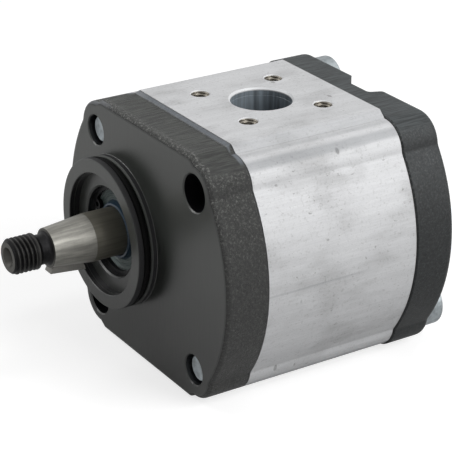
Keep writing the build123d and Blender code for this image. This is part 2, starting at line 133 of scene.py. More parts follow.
def ring(radius: float | Callable[[float], float], along: float, axis: Axis = Axis.SHAFT,
         centre: Pair = (0.0, 0.0), steps: int = 96) -> Ring:
    """Points round an axis.

    Args:
        radius: Distance from the axis, or a function that gives it for an angle.
        along: Place on the axis.
        axis: Direction of the axis.
        centre: Where the axis crosses the plane across it.
        steps: Number of points.

    Returns:
        The points, in order round the axis.
    """
    points = []
    for index in range(steps):
        angle = TURN * index / steps
        reach = radius(angle) if callable(radius) else radius
        across = centre[0] + reach * math.cos(angle)
        upward = centre[1] + reach * math.sin(angle)
        if axis is Axis.SHAFT:
            points.append((across, along, upward))
        else:
            points.append((across, upward, along))
    return points


def skinned(rings: Sequence[Ring], round_trip: bool = False) -> Shell:
    """A surface through closed rings with the same number of points.

    Args:
        rings: The rings, one after another.
        round_trip: Joins the last ring to the first, instead of capping both.

    Returns:
        The closed surface.
    """
    count = len(rings[0])
    points = [point for one in rings for point in one]
    faces: list[tuple[int, ...]] = []
    for row in range(len(rings) if round_trip else len(rings) - 1):
        here = row * count
        there = (row + 1) % len(rings) * count
        for index in range(count):
            after = (index + 1) % count
            faces.append((here + index, here + after, there + after, there + index))
    if not round_trip:
        last = (len(rings) - 1) * count
        faces.append(tuple(reversed(range(count))))
        faces.append(tuple(range(last, last + count)))
    return Shell(points, faces)


def turned(section: Sequence[Pair], centre: Pair = (0.0, 0.0), axis: Axis = Axis.SHAFT,
           round_trip: bool = False, steps: int = 96) -> Shell:
    """A form turned from a section.

    Args:
        section: The section's (radius, along) points.
        centre: Where the axis crosses the plane across it.
        axis: Direction of the axis.
        round_trip: Whether the section is a closed loop. Both ends are capped where it isn't.
        steps: Number of points round the axis.

    Returns:
        The closed surface.
    """
    rings = [ring(radius, along, axis, centre, steps) for radius, along in section]
    return skinned(rings, round_trip)


def arc(centre: Pair, radius: float, start: float, end: float, steps: int) -> list[Pair]:
    """Points on an arc, both ends included.

    Args:
        centre: Centre of the arc.
        radius: Its radius.
        start: Angle of its first point, in degrees.
        end: Angle of its last point, in degrees.
        steps: Number of runs between the points.

    Returns:
        The points in order.
    """
    points = []
    for index in range(steps + 1):
        angle = math.radians(start + (end - start) * index / steps)
        points.append((centre[0] + radius * math.cos(angle), centre[1] + radius * math.sin(angle)))
    return points


def prism(outline: Sequence[Pair], start: float, end: float, axis: Axis = Axis.SHAFT) -> Shell:
    """A straight form with one outline.

    Args:
        outline: Points of the outline, seen along the axis.
        start: Place of one end on the axis.
        end: Place of the other end.
        axis: Direction of the axis.

    Returns:
        The closed surface.
    """
    rings = []
    for along in (start, end):
        if axis is Axis.SHAFT:
            rings.append([(across, along, upward) for across, upward in outline])
        else:
            rings.append([(across, upward, along) for across, upward in outline])
    return skinned(rings)


def thread_height(phase: float) -> float:
    """Height of a thread form between its root, 0, and its crest, 1, over one pitch."""
    slope = 1.0 - abs(2.0 * (phase % 1.0) - 1.0)
    return min(1.0, max(0.0, (slope - 0.16) / 0.66))


def swept(path: Sequence[Pair], section: Sequence[Pair], closed: bool) -> Shell:
    """A section carried along a path in the plane across the drive shaft.

    Args:
        path: Points across and up.
        section: Points of the section, sideways from the path and along the shaft.
        closed: Whether the path runs round to its start.

    Returns:
        The closed surface.
    """
    rings = []
    count = len(path)
    for index, (across, upward) in enumerate(path):
        before = path[(index - 1) % count] if closed or index > 0 else path[index]
        after = path[(index + 1) % count] if closed or index < count - 1 else path[index]
        heading = Vector((after[0] - before[0], after[1] - before[1])).normalized()
        side = Vector((heading.y, -heading.x))
        rings.append([(across + side.x * out, along, upward + side.y * out) for out, along in section])
    return skinned(rings, closed)


def rounded_section(width: float, start: float, end: float, corner: float) -> list[Pair]:
    """A rectangle with round corners.

    Args:
        width: Its size sideways.
        start: Place of its front side along the shaft.
        end: Place of its rear side.
        corner: Radius of the corners.

    Returns:
        Its points, sideways and along the shaft.
    """
    half = width / 2 - corner
    points: list[Pair] = []
    for sign_x, sign_y, angle in ((1, 1, 0), (-1, 1, 90), (-1, -1, 180), (1, -1, 270)):
        middle = (sign_x * half, end - corner if sign_y > 0 else start + corner)
        points += arc(middle, corner, angle, angle + 90, 4)
    return points


def in_scene(name: str, mesh: bpy.types.Mesh) -> bpy.types.Object:
    """A new object in the scene that shows a mesh.

    Args:
        name: Name of the object.
        mesh: The mesh to show.

    Returns:
        The new object.
    """
    piece = bpy.data.objects.new(name, mesh)
    bpy.context.scene.collection.objects.link(piece)
    return piece


def settled(piece: bpy.types.Object) -> None:
    """Writes a piece's modifiers into its mesh.

    Args:
        piece: The piece to settle.
    """
    graph = bpy.context.evaluated_depsgraph_get()
    mesh = bpy.data.meshes.new_from_object(piece.evaluated_get(graph))
    piece.modifiers.clear()
    old = piece.data
    piece.data = mesh
    bpy.data.meshes.remove(old)


def worked(piece: bpy.types.Object, tool: Shell, cut: Cut = Cut.REMOVE) -> None:
    """Cuts a tool's form out of a piece, or joins it on.

    Args:
        piece: The piece, in millimetres.
        tool: The form that meets it.
        cut: Whether the form is cut out or joined on.
    """
    helper = in_scene("tool", tool.mesh("tool"))
    modifier = piece.modifiers.new("work", "BOOLEAN")
    modifier.operation = cut.value
    modifier.solver = "EXACT"
    modifier.object = helper
    settled(piece)
    bpy.data.meshes.remove(helper.data)


def smoothed(piece: bpy.types.Object, angle: float) -> None:
    """Shades a piece smoothly, with its flat faces kept flat.

    Args:
        piece: The piece to shade.
        angle: Edges sharper than this stay sharp, in degrees.
    """
    piece.data.shade_smooth()
    piece.data.set_sharp_from_angle(angle=math.radians(angle))
    modifier = piece.modifiers.new("normals", "WEIGHTED_NORMAL")
    modifier.keep_sharp = True
    settled(piece)


@dataclass(frozen=True)
class Signal:
    """One output of a material's node tree. Sums on numbers add Math nodes."""

    bench: Bench
    socket: bpy.types.NodeSocket

    def _math(self, operation: str, first: Signal | float, second: Signal | float) -> Signal:
        """One Math node on two values."""
        return self.bench.add("ShaderNodeMath", {"operation": operation}, {0: first, 1: second})

    def __add__(self, other: Signal | float) -> Signal:
        """Sum."""
        return self._math("ADD", self, other)

    def __radd__(self, other: float) -> Signal:
        """Sum with the number first."""
        return self._math("ADD", other, self)

    def __sub__(self, other: Signal | float) -> Signal:
        """Difference."""
        return self._math("SUBTRACT", self, other)

    def __rsub__(self, other: float) -> Signal:
        """Difference with the number first."""
        return self._math("SUBTRACT", other, self)

    def __mul__(self, other: Signal | float) -> Signal:
        """Product."""
        return self._math("MULTIPLY", self, other)

    def __rmul__(self, other: float) -> Signal:
        """Product with the number first."""
        return self._math("MULTIPLY", other, self)

    def __pow__(self, other: Signal | float) -> Signal:
        """Power."""
        return self._math("POWER", self, other)

    def __abs__(self) -> Signal:
        """Distance from zero."""
        return self._math("ABSOLUTE", self, 0.0)

    def larger(self, other: Signal | float) -> Signal:
        """The larger of two values."""
        return self._math("MAXIMUM", self, other)

    def smaller(self, other: Signal | float) -> Signal:
        """The smaller of two values."""
        return self._math("MINIMUM", self, other)

    def rising(self, low: float, high: float) -> Signal:
        """A smooth step, which falls where low is the larger.

        Args:
            low: Value where the step is still 0.
            high: Value where it has reached 1.

        Returns:
            The step.
        """
        return self.bench.add(
            "ShaderNodeMapRange",
            {"interpolation_type": "SMOOTHSTEP"},
            {"Value": self, "From Min": low, "From Max": high, "To Min": 0.0, "To Max": 1.0},
        )


class Bench:
    """A node tree while it is made."""

    def __init__(self, tree: bpy.types.NodeTree, output: str) -> None:
        """Starts with an empty tree.

        Args:
            tree: The tree to fill.
            output: Type of the node that it ends in.
        """
        self.tree = tree
        self.output = output
        tree.nodes.clear()

    def add(self, kind: str, settings: dict | None = None, inputs: dict | None = None,
            out: str | int = 0) -> Signal:
        """Adds a node of any type.

        Args:
            kind: The node's type.
            settings: Its properties, set first.
            inputs: The values or links of its sockets, by name or number.
            out: The output to return, by name or number.

        Returns:
            The chosen output.
        """
        node = self.tree.nodes.new(kind)
        for key, value in (settings or {}).items():
            setattr(node, key, value)
        for key, value in (inputs or {}).items():
            socket = node.inputs[key]
            if isinstance(value, Signal):
                self.tree.links.new(value.socket, socket)
            elif isinstance(value, tuple) and socket.type == "RGBA":
                socket.default_value = (*value, 1.0)
            else:
                socket.default_value = value
        return Signal(self, node.outputs[out])

    def scaled(self, vector: Signal, by: Point) -> Signal:
        """A vector multiplied along each axis."""
        return self.add("ShaderNodeVectorMath", {"operation": "MULTIPLY"}, {0: vector, 1: by})

    def shifted(self, vector: Signal, by: Point) -> Signal:
        """A vector moved by a fixed amount."""
        return self.add("ShaderNodeVectorMath", {"operation": "ADD"}, {0: vector, 1: by})

    def blended(self, share: Signal | float, low: Signal | Colour, high: Signal | Colour) -> Signal:
        """A mix of two colours.

        Args:
            share: Share of the second one.
            low: The first colour.
            high: The second colour.

        Returns:
            The mix.
        """
        return self.add(
            "ShaderNodeMix",
            {"data_type": "RGBA"},
            {"Factor": share, 6: low, 7: high},
            out=2,
        )

    def shaded(self, colour: Signal | Colour, by: Signal) -> Signal:
        """A colour made lighter or darker.

        Args:
            colour: The colour.
            by: The grey value that it is multiplied by.

        Returns:
            The new colour.
        """
        return self.add(
            "ShaderNodeMix",
            {"data_type": "RGBA", "blend_type": "MULTIPLY"},
            {"Factor": 1.0, 6: colour, 7: by},
            out=2,
        )

    def closed(self, surface: Signal) -> None:
        """Links a surface to the tree's output."""
        node = self.tree.nodes.new(self.output)
        self.tree.links.new(surface.socket, node.inputs["Surface"])


class Paint(Bench):
    """The node tree of a material, with its place and facing in reach."""

    def __init__(self, name: str) -> None:
        """Starts an empty material.

        Args:
            name: Name of the material.
        """
        self.material = bpy.data.materials.new(name)
        self.material.use_nodes = True
        super().__init__(self.material.node_tree, "ShaderNodeOutputMaterial")
        metres = self.add("ShaderNodeTexCoord", out="Object")
        self.place = self.scaled(metres, (1 / MM, 1 / MM, 1 / MM))
        self.x, self.y, self.z = self.parts(self.place)
        facing = self.add("ShaderNodeTexCoord", out="Normal")
        self.facing_x, self.facing_y, self.facing_z = self.parts(facing)

    def parts(self, vector: Signal) -> tuple[Signal, ...]:
        """The three coordinates of a vector."""
        node = self.add("ShaderNodeSeparateXYZ", inputs={"Vector": vector}).socket.node
        return tuple(Signal(self, node.outputs[index]) for index in range(3))

    def noise(self, scale: float, stretch: Point = (1.0, 1.0, 1.0), detail: float = 3.0,
              roughness: float = 0.5, seed: float = 0.0) -> Signal:
        """Cloudy noise over the piece.

        Args:
            scale: Features per millimetre.
            stretch: Factor on the scale along each axis; a small one draws the noise out into streaks.
            detail: Number of finer layers.
            roughness: Share of the finer layers.
            seed: Shift that gives another pattern.

        Returns:
            Values around 0.5.
        """
        vector = self.shifted(self.scaled(self.place, stretch), (seed, seed, seed))
        return self.add(
            "ShaderNodeTexNoise",
            {"noise_dimensions": "3D"},
            {"Vector": vector, "Scale": scale, "Detail": detail, "Roughness": roughness},
        )

    def cells(self, scale: float, stretch: Point = (1.0, 1.0, 1.0), seed: float = 0.0) -> Signal:
        """Distance to the nearest of many scattered points."""
        vector = self.shifted(self.scaled(self.place, stretch), (seed, seed, seed))
        return self.add("ShaderNodeTexVoronoi", {}, {"Vector": vector, "Scale": scale})

    def apart(self, first: Signal, second: Signal, centre: Pair = (0.0, 0.0)) -> Signal:
        """Distance of two coordinates from a centre.

        Args:
            first: One coordinate.
            second: The other coordinate.
            centre: Where both are measured from.

        Returns:
            The distance in millimetres.
        """
        across = first - centre[0]
        upward = second - centre[1]
        return (across * across + upward * upward) ** 0.5

    def raised(self, height: Signal, strength: float, distance: float) -> Signal:
        """A surface normal that follows a height.

        Args:
            height: The height, from about 0 to 1.
            strength: Share of the effect.
            distance: Height that a value of 1 stands for, in millimetres.

        Returns:
            The normal.
        """
        return self.add(
            "ShaderNodeBump",
            {},
            {"Strength": strength, "Distance": distance * MM, "Height": height},
        )

    def done(self, sockets: dict) -> bpy.types.Material:
        """Closes the tree with one surface shader.

        Args:
            sockets: Values or links of the shader's sockets.

        Returns:
            The finished material.
        """
        self.closed(self.add("ShaderNodeBsdfPrincipled", {}, sockets))
        return self.material


@dataclass(frozen=True)
class CastIron:
    """Dark cast iron with a granular skin."""

    name: str
    skin: Colour = (0.006, 0.0065, 0.0058)
    specks: Colour = (0.12, 0.12, 0.115)
    speck_share: float = 0.40
    grit: float = 1.0

    def cast(self, paint: Paint) -> tuple[Signal, Signal, Signal]:
        """Colour, roughness and height of the cast skin.

        Args:
            paint: Node tree of the material.

        Returns:
            The three values, each varying over the surface.
        """
        grain = paint.noise(1.1, detail=6.0, roughness=0.75)
        pits = paint.noise(0.5, detail=4.0, roughness=0.65, seed=3.0)
        clouds = paint.noise(0.07, detail=3.0, seed=9.0)
        sparkle = paint.noise(1.5, detail=4.0, roughness=0.7, seed=21.0)
        filed = paint.noise(1.6, stretch=(1.0, 0.07, 1.0), detail=5.0, roughness=0.65, seed=30.0)
        # The level sides are filed smoother than the rest, up to a fringe at the front edge.
        flat = abs(paint.facing_z).rising(0.60, 0.85)
        edge = (paint.facing_z * paint.facing_y * -4.0).rising(0.2, 0.9)
        fringe = edge.larger(paint.y.rising(3.6, 2.0) * flat)
        # Light specks in the skin, with more of them as painted glints on the upper front edge.
        specked = sparkle.rising(0.48, 0.62) * (fringe * 0.5 + self.speck_share * (1.0 - flat))
        rough = grain.rising(0.38, 0.64) * 1.7 + pits.rising(0.36, 0.52) * 0.6 - 0.75
        smooth = filed.rising(0.38, 0.62) * 2.2 + grain * 0.4 - 0.65
        tone = paint.blended((1.0 - flat).larger(fringe), smooth, rough)
        # Dust lies on what faces up, mixed with painted light: up-facing skin is made up to three times
        # lighter.
        dust = paint.facing_z.rising(0.1, 0.9) * 2.0
        tone = (tone * self.grit + clouds * 0.5 + (0.95 - 0.75 * self.grit)) * (dust + 1.0)
        colour = paint.shaded(paint.blended(specked * 0.6, self.skin, self.specks), tone.larger(0.05))
        height = paint.blended(flat * (1.0 - fringe), grain * 0.9 + pits * 0.9, filed * 0.8 + grain * 0.2)
        return colour, grain * 0.25 + 0.50, height

    def material(self) -> bpy.types.Material:
        """The finish as a material.

        Returns:
            The new material.
        """
        paint = Paint(self.name)
        colour, roughness, height = self.cast(paint)
        return paint.done({
            "Base Color": colour, "Roughness": roughness, "Specular IOR Level": 0.3,
            "Normal": paint.raised(height, 0.6 * self.grit, 0.3),
        })


@dataclass(frozen=True)
class MachinedCasting(CastIron):
    """Cast iron with machined faces: bare at the front, black elsewhere, partly finish and partly painted
    shade.
    """

    bare: Colour = (0.046, 0.050, 0.0455)
    black: Colour = (0.004, 0.004, 0.005)
    strip: Colour = (0.165, 0.182, 0.205)
    # Colour of the painted highlight along the upper front edge.
    ground: Colour = (0.22, 0.23, 0.245)

    def material(self) -> bpy.types.Material:
        """The finish as a material.

        Returns:
            The new material.
        """
        paint = Paint(self.name)
        cast_colour, cast_roughness, cast_height = self.cast(paint)
        front = 0.0 - paint.facing_y
        reach = paint.apart(paint.x, paint.z)

        # What was machined: the spigot, everything inside it, and the screw and bolt holes.
        cut = paint.y.rising(0.06, -0.06)
        for corner in SCREW_CORNERS + BOLT_CORNERS:
            hole = paint.apart(paint.x, paint.z, BODY.corner(*corner)).rising(6.6, 6.5)
            wall = abs(paint.facing_y).rising(0.6, 0.4)
            cut = cut.larger(hole * paint.y.rising(0.9, 0.8).larger(wall))
        cut = cut.larger(reach.rising(24.0, 23.9))

        # Faces towards the front are bare, the others black: a black finish, and painted shade on the walls
        # of the holes, the recess and the spigot.
        flat = front.rising(0.90, 0.95)
        rim = front.rising(0.3, 0.5) * paint.y.rising(0.75, 0.65)
        shiny = cut.larger(flat)
        seen_bare = flat.larger(rim * cut)
        wipe = paint.noise(0.9, stretch=(1.0, 1.0, 0.15), detail=3.0, seed=5.0)
        clouds = paint.noise(0.05, detail=2.0, seed=33.0)
        # Painted shade: the bare faces grow darker towards the bottom.
        painted_low_shade = paint.z.rising(24.0, -24.0)
        bare = paint.shaded(self.bare, wipe * 0.30 + clouds * 0.35 + 0.92 - painted_low_shade * 0.80)
        shiny_colour = paint.blended(seen_bare, self.black, bare)

        # Bright strip and dark gap at the joint with the body, and a painted highlight along the upper front
        # edge on its -X part.
        level = abs(paint.facing_z).rising(0.80, 0.95)
        joint = paint.y.rising(13.0, 13.7) * (1.0 - shiny) * level
        gap = paint.y.rising(14.35, 14.65) * (1.0 - level)
        painted_edge_highlight = (paint.facing_z * paint.facing_y * -4.0).rising(0.5, 1.2) * paint.x.rising(-2.0, -10.0)
        colour = paint.blended(joint * (wipe * 0.5 + 0.45), cast_colour, self.strip)
        colour = paint.blended(painted_edge_highlight * 0.7, colour, self.ground)
        colour = paint.blended(gap * 0.85, colour, self.black)
        lands = paint.y.rising(-0.2, -0.4) * paint.y.rising(-6.8, -6.6) * reach.rising(21.6, 22.0)
        smooth_roughness = 0.24 + lands * 0.34 + wipe * 0.10 + clouds * 0.06
        roughness = paint.blended(shiny, cast_roughness, smooth_roughness)
        height = paint.blended(shiny.larger(joint * 0.7), cast_height, wipe * 0.04)
        return paint.done({
            "Base Color": paint.blended(shiny, colour, shiny_colour),
            "Roughness": roughness,
            "Specular IOR Level": 0.5,
            "Normal": paint.raised(height, 0.9, 0.60),
        })


@dataclass(frozen=True)
class ExtrudedAluminium:
    """Satin aluminium with draw lines along the shaft direction and small dents."""

    name: str
    metal: Colour = (0.58, 0.585, 0.595)
    soil: Colour = (0.30, 0.30, 0.30)
    metallic: float = 0.15
    roughness: float = 0.53

    def skin(self, paint: Paint) -> tuple[Signal, Signal, Signal]:
        """Colour, roughness and height of the metal.

        Args:
            paint: Node tree of the material.

        Returns:
            The three values, each varying over the surface.
        """
        lines = paint.noise(2.0, stretch=(1.0, 0.05, 1.0), detail=5.0, roughness=0.65)
        broad = paint.noise(0.32, stretch=(1.0, 0.06, 1.0), detail=3.0, seed=4.0)
        clouds = paint.noise(0.09, stretch=(1.0, 0.5, 1.0), detail=3.0, seed=8.0)
        mottle = paint.noise(1.0, detail=6.0, roughness=0.75, seed=14.0)
        scratch = paint.noise(0.9, stretch=(2.6, 0.5, 0.5), detail=2.0, seed=51.0).rising(0.69, 0.74)
        dent = paint.cells(0.065, stretch=(1.0, 1.6, 0.8), seed=3.0).rising(0.085, 0.045)
        soil = mottle.rising(0.48, 0.70) * 0.60 + clouds.rising(0.46, 0.70) * 0.35
        soil = soil + dent * 0.7 + scratch * 0.55
        tone = lines * 0.32 + broad * 0.26 + mottle * 0.62 + 0.41
        colour = paint.shaded(paint.blended(soil.smaller(1.0), self.metal, self.soil), tone)
        height = lines * 0.6 + mottle * 0.5 - dent * 5.0 - scratch * 1.5
        return colour, self.roughness + broad * 0.10 + soil * 0.25, height

    def material(self) -> bpy.types.Material:
        """The finish as a material.

        Returns:
            The new material.
        """
        paint = Paint(self.name)
        colour, roughness, height = self.skin(paint)
        return paint.done({
            "Base Color": colour, "Roughness": roughness, "Metallic": self.metallic,
            "Normal": paint.raised(height, 0.5, 0.06),
        })


@dataclass(frozen=True)
class PortedAluminium(ExtrudedAluminium):
    """Satin aluminium; its port bores darkened as painted shade, its countersinks light as cut metal and as
    a painted highlight.
    """

    painted_shade_and_line: Colour = (0.24, 0.25, 0.265)
    bore: Colour = (0.21, 0.245, 0.275)
    cut: Colour = (0.68, 0.69, 0.70)
    thread: Colour = (0.065, 0.057, 0.047)

    def material(self) -> bpy.types.Material:
        """The finish as a material.

        Returns:
            The new material.
        """
        paint = Paint(self.name)
        colour, roughness, height = self.skin(paint)
        across = abs(paint.x - MIDDLE)
        away = abs(paint.z)
        steep = abs(paint.facing_z)
        from_port = paint.apart(paint.x, paint.y, PORT_MIDDLE)

        # Painted shade on the lobes beside the pads and on the pads' sloping shoulders, a drawn line on the
        # right side and a dark seam at the cover.
        painted_lobe_shade = paint.apart(across, away, (36.2, 37.3)).rising(2.6, 0.8)
        painted_lobe_shade = painted_lobe_shade.larger(paint.apart(across, away, (32.0, 39.3)).rising(1.2, 0.3) * 0.4)
        drawn = abs(paint.z + 0.8).rising(0.5, 0.15) * paint.facing_x.rising(0.80, 0.95)
        drawn = drawn * paint.y.rising(54.0, 46.0)
        seam = paint.y.rising(70.72, 70.88)
        # Painted shade on the pads' sloping shoulders.
        shoulder = across.rising(26.9, 27.3) * across.rising(30.6, 29.6) * away.rising(38.5, 39.2)
        colour = paint.blended(painted_lobe_shade * 0.50 + drawn * 0.30 + shoulder * 0.30, colour, self.painted_shade_and_line)
        colour = paint.blended(seam * 0.75, colour, self.thread)

        # The milled pad, its bore painted darker as shade inside the port, the countersinks light as cut
        # metal and as a painted highlight, and the threaded holes.
        milled = steep.rising(0.97, 0.99) * away.rising(41.6, 41.7)
        colour = paint.shaded(colour, 1.0 + milled * 0.05)
        streaks = paint.noise(0.7, stretch=(1.0, 1.0, 0.03), detail=4.0, seed=40.0)
        inside = from_port.rising(10.25, 10.1) * away.rising(40.95, 40.85)
        bore = paint.shaded(self.bore, streaks.rising(0.25, 0.8) * 0.8 + 0.45)
        colour = paint.blended(inside, colour, bore)
        around = from_port.rising(26.0, 25.0)
        bright = steep.rising(0.95, 0.90) * away.rising(41.2, 41.3) * around
        colour = paint.blended(bright, colour, self.cut)
        hole = away.rising(27.0, 27.2) * away.rising(41.45, 41.35) * (1.0 - inside)
        hole = hole * around * steep.rising(0.3, 0.2) * from_port.rising(16.0, 16.2)
        colour = paint.blended(hole, colour, self.thread)
        return paint.done({
            "Base Color": colour,
            "Roughness": (roughness - bright * 0.12 - inside * 0.14).larger(0.2),
            "Metallic": self.metallic,
            "Normal": paint.raised(height * (1.0 - inside) + streaks * inside * 0.3, 0.5, 0.06),
        })


@dataclass(frozen=True)
class TurnedSteel:
    """Steel with fine tool marks round its axis."""

    name: str
    metal: Colour = (0.235, 0.23, 0.208)
    roughness: float = 0.32

    def turned(self, paint: Paint) -> tuple[Signal, Signal, Signal]:
        """Colour, roughness and height of the turned surface.

        Args:
            paint: Node tree of the material.

        Returns:
            The three values, each varying over the surface.
        """
        tool = paint.noise(3.5, stretch=(0.04, 1.0, 0.04), detail=3.0, roughness=0.6)
        cloud = paint.noise(0.16, detail=3.0, seed=6.0)
        colour = paint.shaded(self.metal, tool * 0.25 + cloud * 0.3 + 0.72)
        return colour, tool * 0.10 + cloud * 0.08 + self.roughness, tool

    def material(self) -> bpy.types.Material:
        """The finish as a material.

        Returns:
            The new material.
        """
        paint = Paint(self.name)
        colour, roughness, height = self.turned(paint)
        return paint.done({
            "Base Color": colour, "Roughness": roughness, "Metallic": 0.95,
            "Normal": paint.raised(height, 0.25, 0.02),
        })


@dataclass(frozen=True)
class ShaftSteel(TurnedSteel):
    """Ground steel whose threaded end is covered with dark oxide."""

    black: Colour = (0.012, 0.012, 0.0125)
    seat: Colour = (0.135, 0.128, 0.102)
    black_from: float = -26.25
    ground_haze: float = 0.04

    def material(self) -> bpy.types.Material:
        """The finish as a material.

        Returns:
            The new material.
        """
        paint = Paint(self.name)
        colour, roughness, height = self.turned(paint)
        # Streaks along the shaft are painted reflections, on the ground steel and on the journal.
        streaks = paint.noise(0.8, stretch=(1.0, 0.04, 1.0), detail=4.0, roughness=0.6, seed=12.0)
        spots = paint.noise(1.2, detail=4.0, roughness=0.7, seed=17.0).rising(0.58, 0.75)
        cloud = paint.noise(0.30, detail=3.0, seed=26.0)
        ground = paint.shaded(colour, streaks.rising(0.3, 0.7) * 0.5 + 0.75)
        dark = paint.y.rising(self.black_from, self.black_from - 0.1)
        oxide = paint.shaded(self.black, cloud * 1.2 + spots * 2.2 + 0.5)

        # Wear on the thread's last crest, partly a painted highlight, and on the end face and the cone of
        # the centre hole.
        reach = paint.apart(paint.x, paint.z)
        worn_and_highlit_crests = reach.rising(5.60, 5.92) * paint.y.rising(-30.9, -31.2)
        face = paint.facing_y.rising(-0.85, -0.95) * 0.32 * reach.rising(3.0, 3.2)
        cone = reach.rising(3.35, 3.25) * paint.facing_y.rising(-0.2, -0.4) * 0.22
        oxide = paint.blended((worn_and_highlit_crests * 0.12).larger(face).larger(cone), oxide, self.metal)
        colour = paint.blended(dark, ground, oxide)

        # The seal journal behind the taper is duller, and painted darker as shade under the flange and the
        # dark recess that it mirrors.
        seat = paint.y.rising(-12.2, -11.9)
        colour = paint.blended(seat * 0.85, colour, paint.shaded(self.seat, streaks * 0.8 + 0.6))
        roughness = roughness + (1.0 - dark) * self.ground_haze + dark * 0.10
        roughness = roughness + spots * dark * 0.1 + seat * 0.10
        return paint.done({
            "Base Color": colour,
            "Roughness": roughness,
            "Metallic": 0.80 + dark * 0.15,
            "Normal": paint.raised(height + spots * dark * 0.6, 0.25, 0.02),
        })


@dataclass(frozen=True)
class PlatedSteel:
    """Pale zinc plate, a little cloudy."""

    name: str
    metal: Colour = (0.31, 0.34, 0.355)
    haze: Colour = (0.21, 0.23, 0.24)
    roughness: float = 0.36

    def material(self) -> bpy.types.Material:
        """The finish as a material.

        Returns:
            The new material.
        """
        paint = Paint(self.name)
        cloud = paint.noise(0.5, detail=4.0, seed=2.0)
        fine = paint.noise(4.0, detail=3.0, seed=12.0)
        # Painted light: the screw ends, in the shade of the flange's holes, are made 1.7 times lighter.
        end = paint.y.rising(4.0, 3.0) * 0.7
        zinc = paint.blended(cloud.rising(0.35, 0.7), self.metal, self.haze)
        return paint.done({
            "Base Color": paint.shaded(zinc, end + 1.0),
            "Roughness": cloud * 0.2 + fine * 0.1 + self.roughness,
            "Metallic": 0.75,
            "Normal": paint.raised(fine, 0.2, 0.03),
        })


@dataclass(frozen=True)
class Rubber:
    """Moulded rubber with a trace of grease and dust."""

    name: str
    colour: Colour = (0.010, 0.010, 0.011)
    bloom: Colour = (0.05, 0.05, 0.05)
    roughness: float = 0.45
    gloss: float = 0.5

    def material(self) -> bpy.types.Material:
        """The finish as a material.

        Returns:
            The new material.
        """
        paint = Paint(self.name)
        skin = paint.noise(3.0, detail=4.0)
        dust = paint.noise(1.1, detail=5.0, roughness=0.75, seed=7.0).rising(0.58, 0.78)
        return paint.done({
            "Base Color": paint.blended(dust * 0.7, self.colour, self.bloom),
            "Roughness": skin * 0.25 + dust * 0.1 + self.roughness,
            "Specular IOR Level": self.gloss,
            "Normal": paint.raised(skin, 0.3, 0.05),
        })


@dataclass(frozen=True)
class SealRubber(Rubber):
    """Blue seal rubber, greyer away from the shaft, glossier at its lip and painted lighter there as a
    sheen.
    """

    outer: Colour = (0.085, 0.120, 0.115)
    lip: Colour = (0.034, 0.068, 0.110)

    def material(self) -> bpy.types.Material:
        """The finish as a material.

        Returns:
            The new material.
        """
        paint = Paint(self.name)
        reach = paint.apart(paint.x, paint.z)
        smear = paint.noise(1.3, stretch=(0.5, 1.0, 0.5), detail=4.0, roughness=0.65)
        away = (reach + smear * 1.5).rising(10.1, 11.3)
        # The lip is glossier, and painted a lighter blue as a sheen.
        lip_gloss_and_sheen = reach.rising(9.75, 9.45)
        colour = paint.blended(away, self.colour, self.outer)
        colour = paint.shaded(paint.blended(lip_gloss_and_sheen, colour, self.lip), smear * 1.1 + 0.45)
        return paint.done({
            "Base Color": colour,
            "Roughness": smear * 0.2 + self.roughness - lip_gloss_and_sheen * 0.15,
            "Normal": paint.raised(smear, 0.3, 0.05),
        })


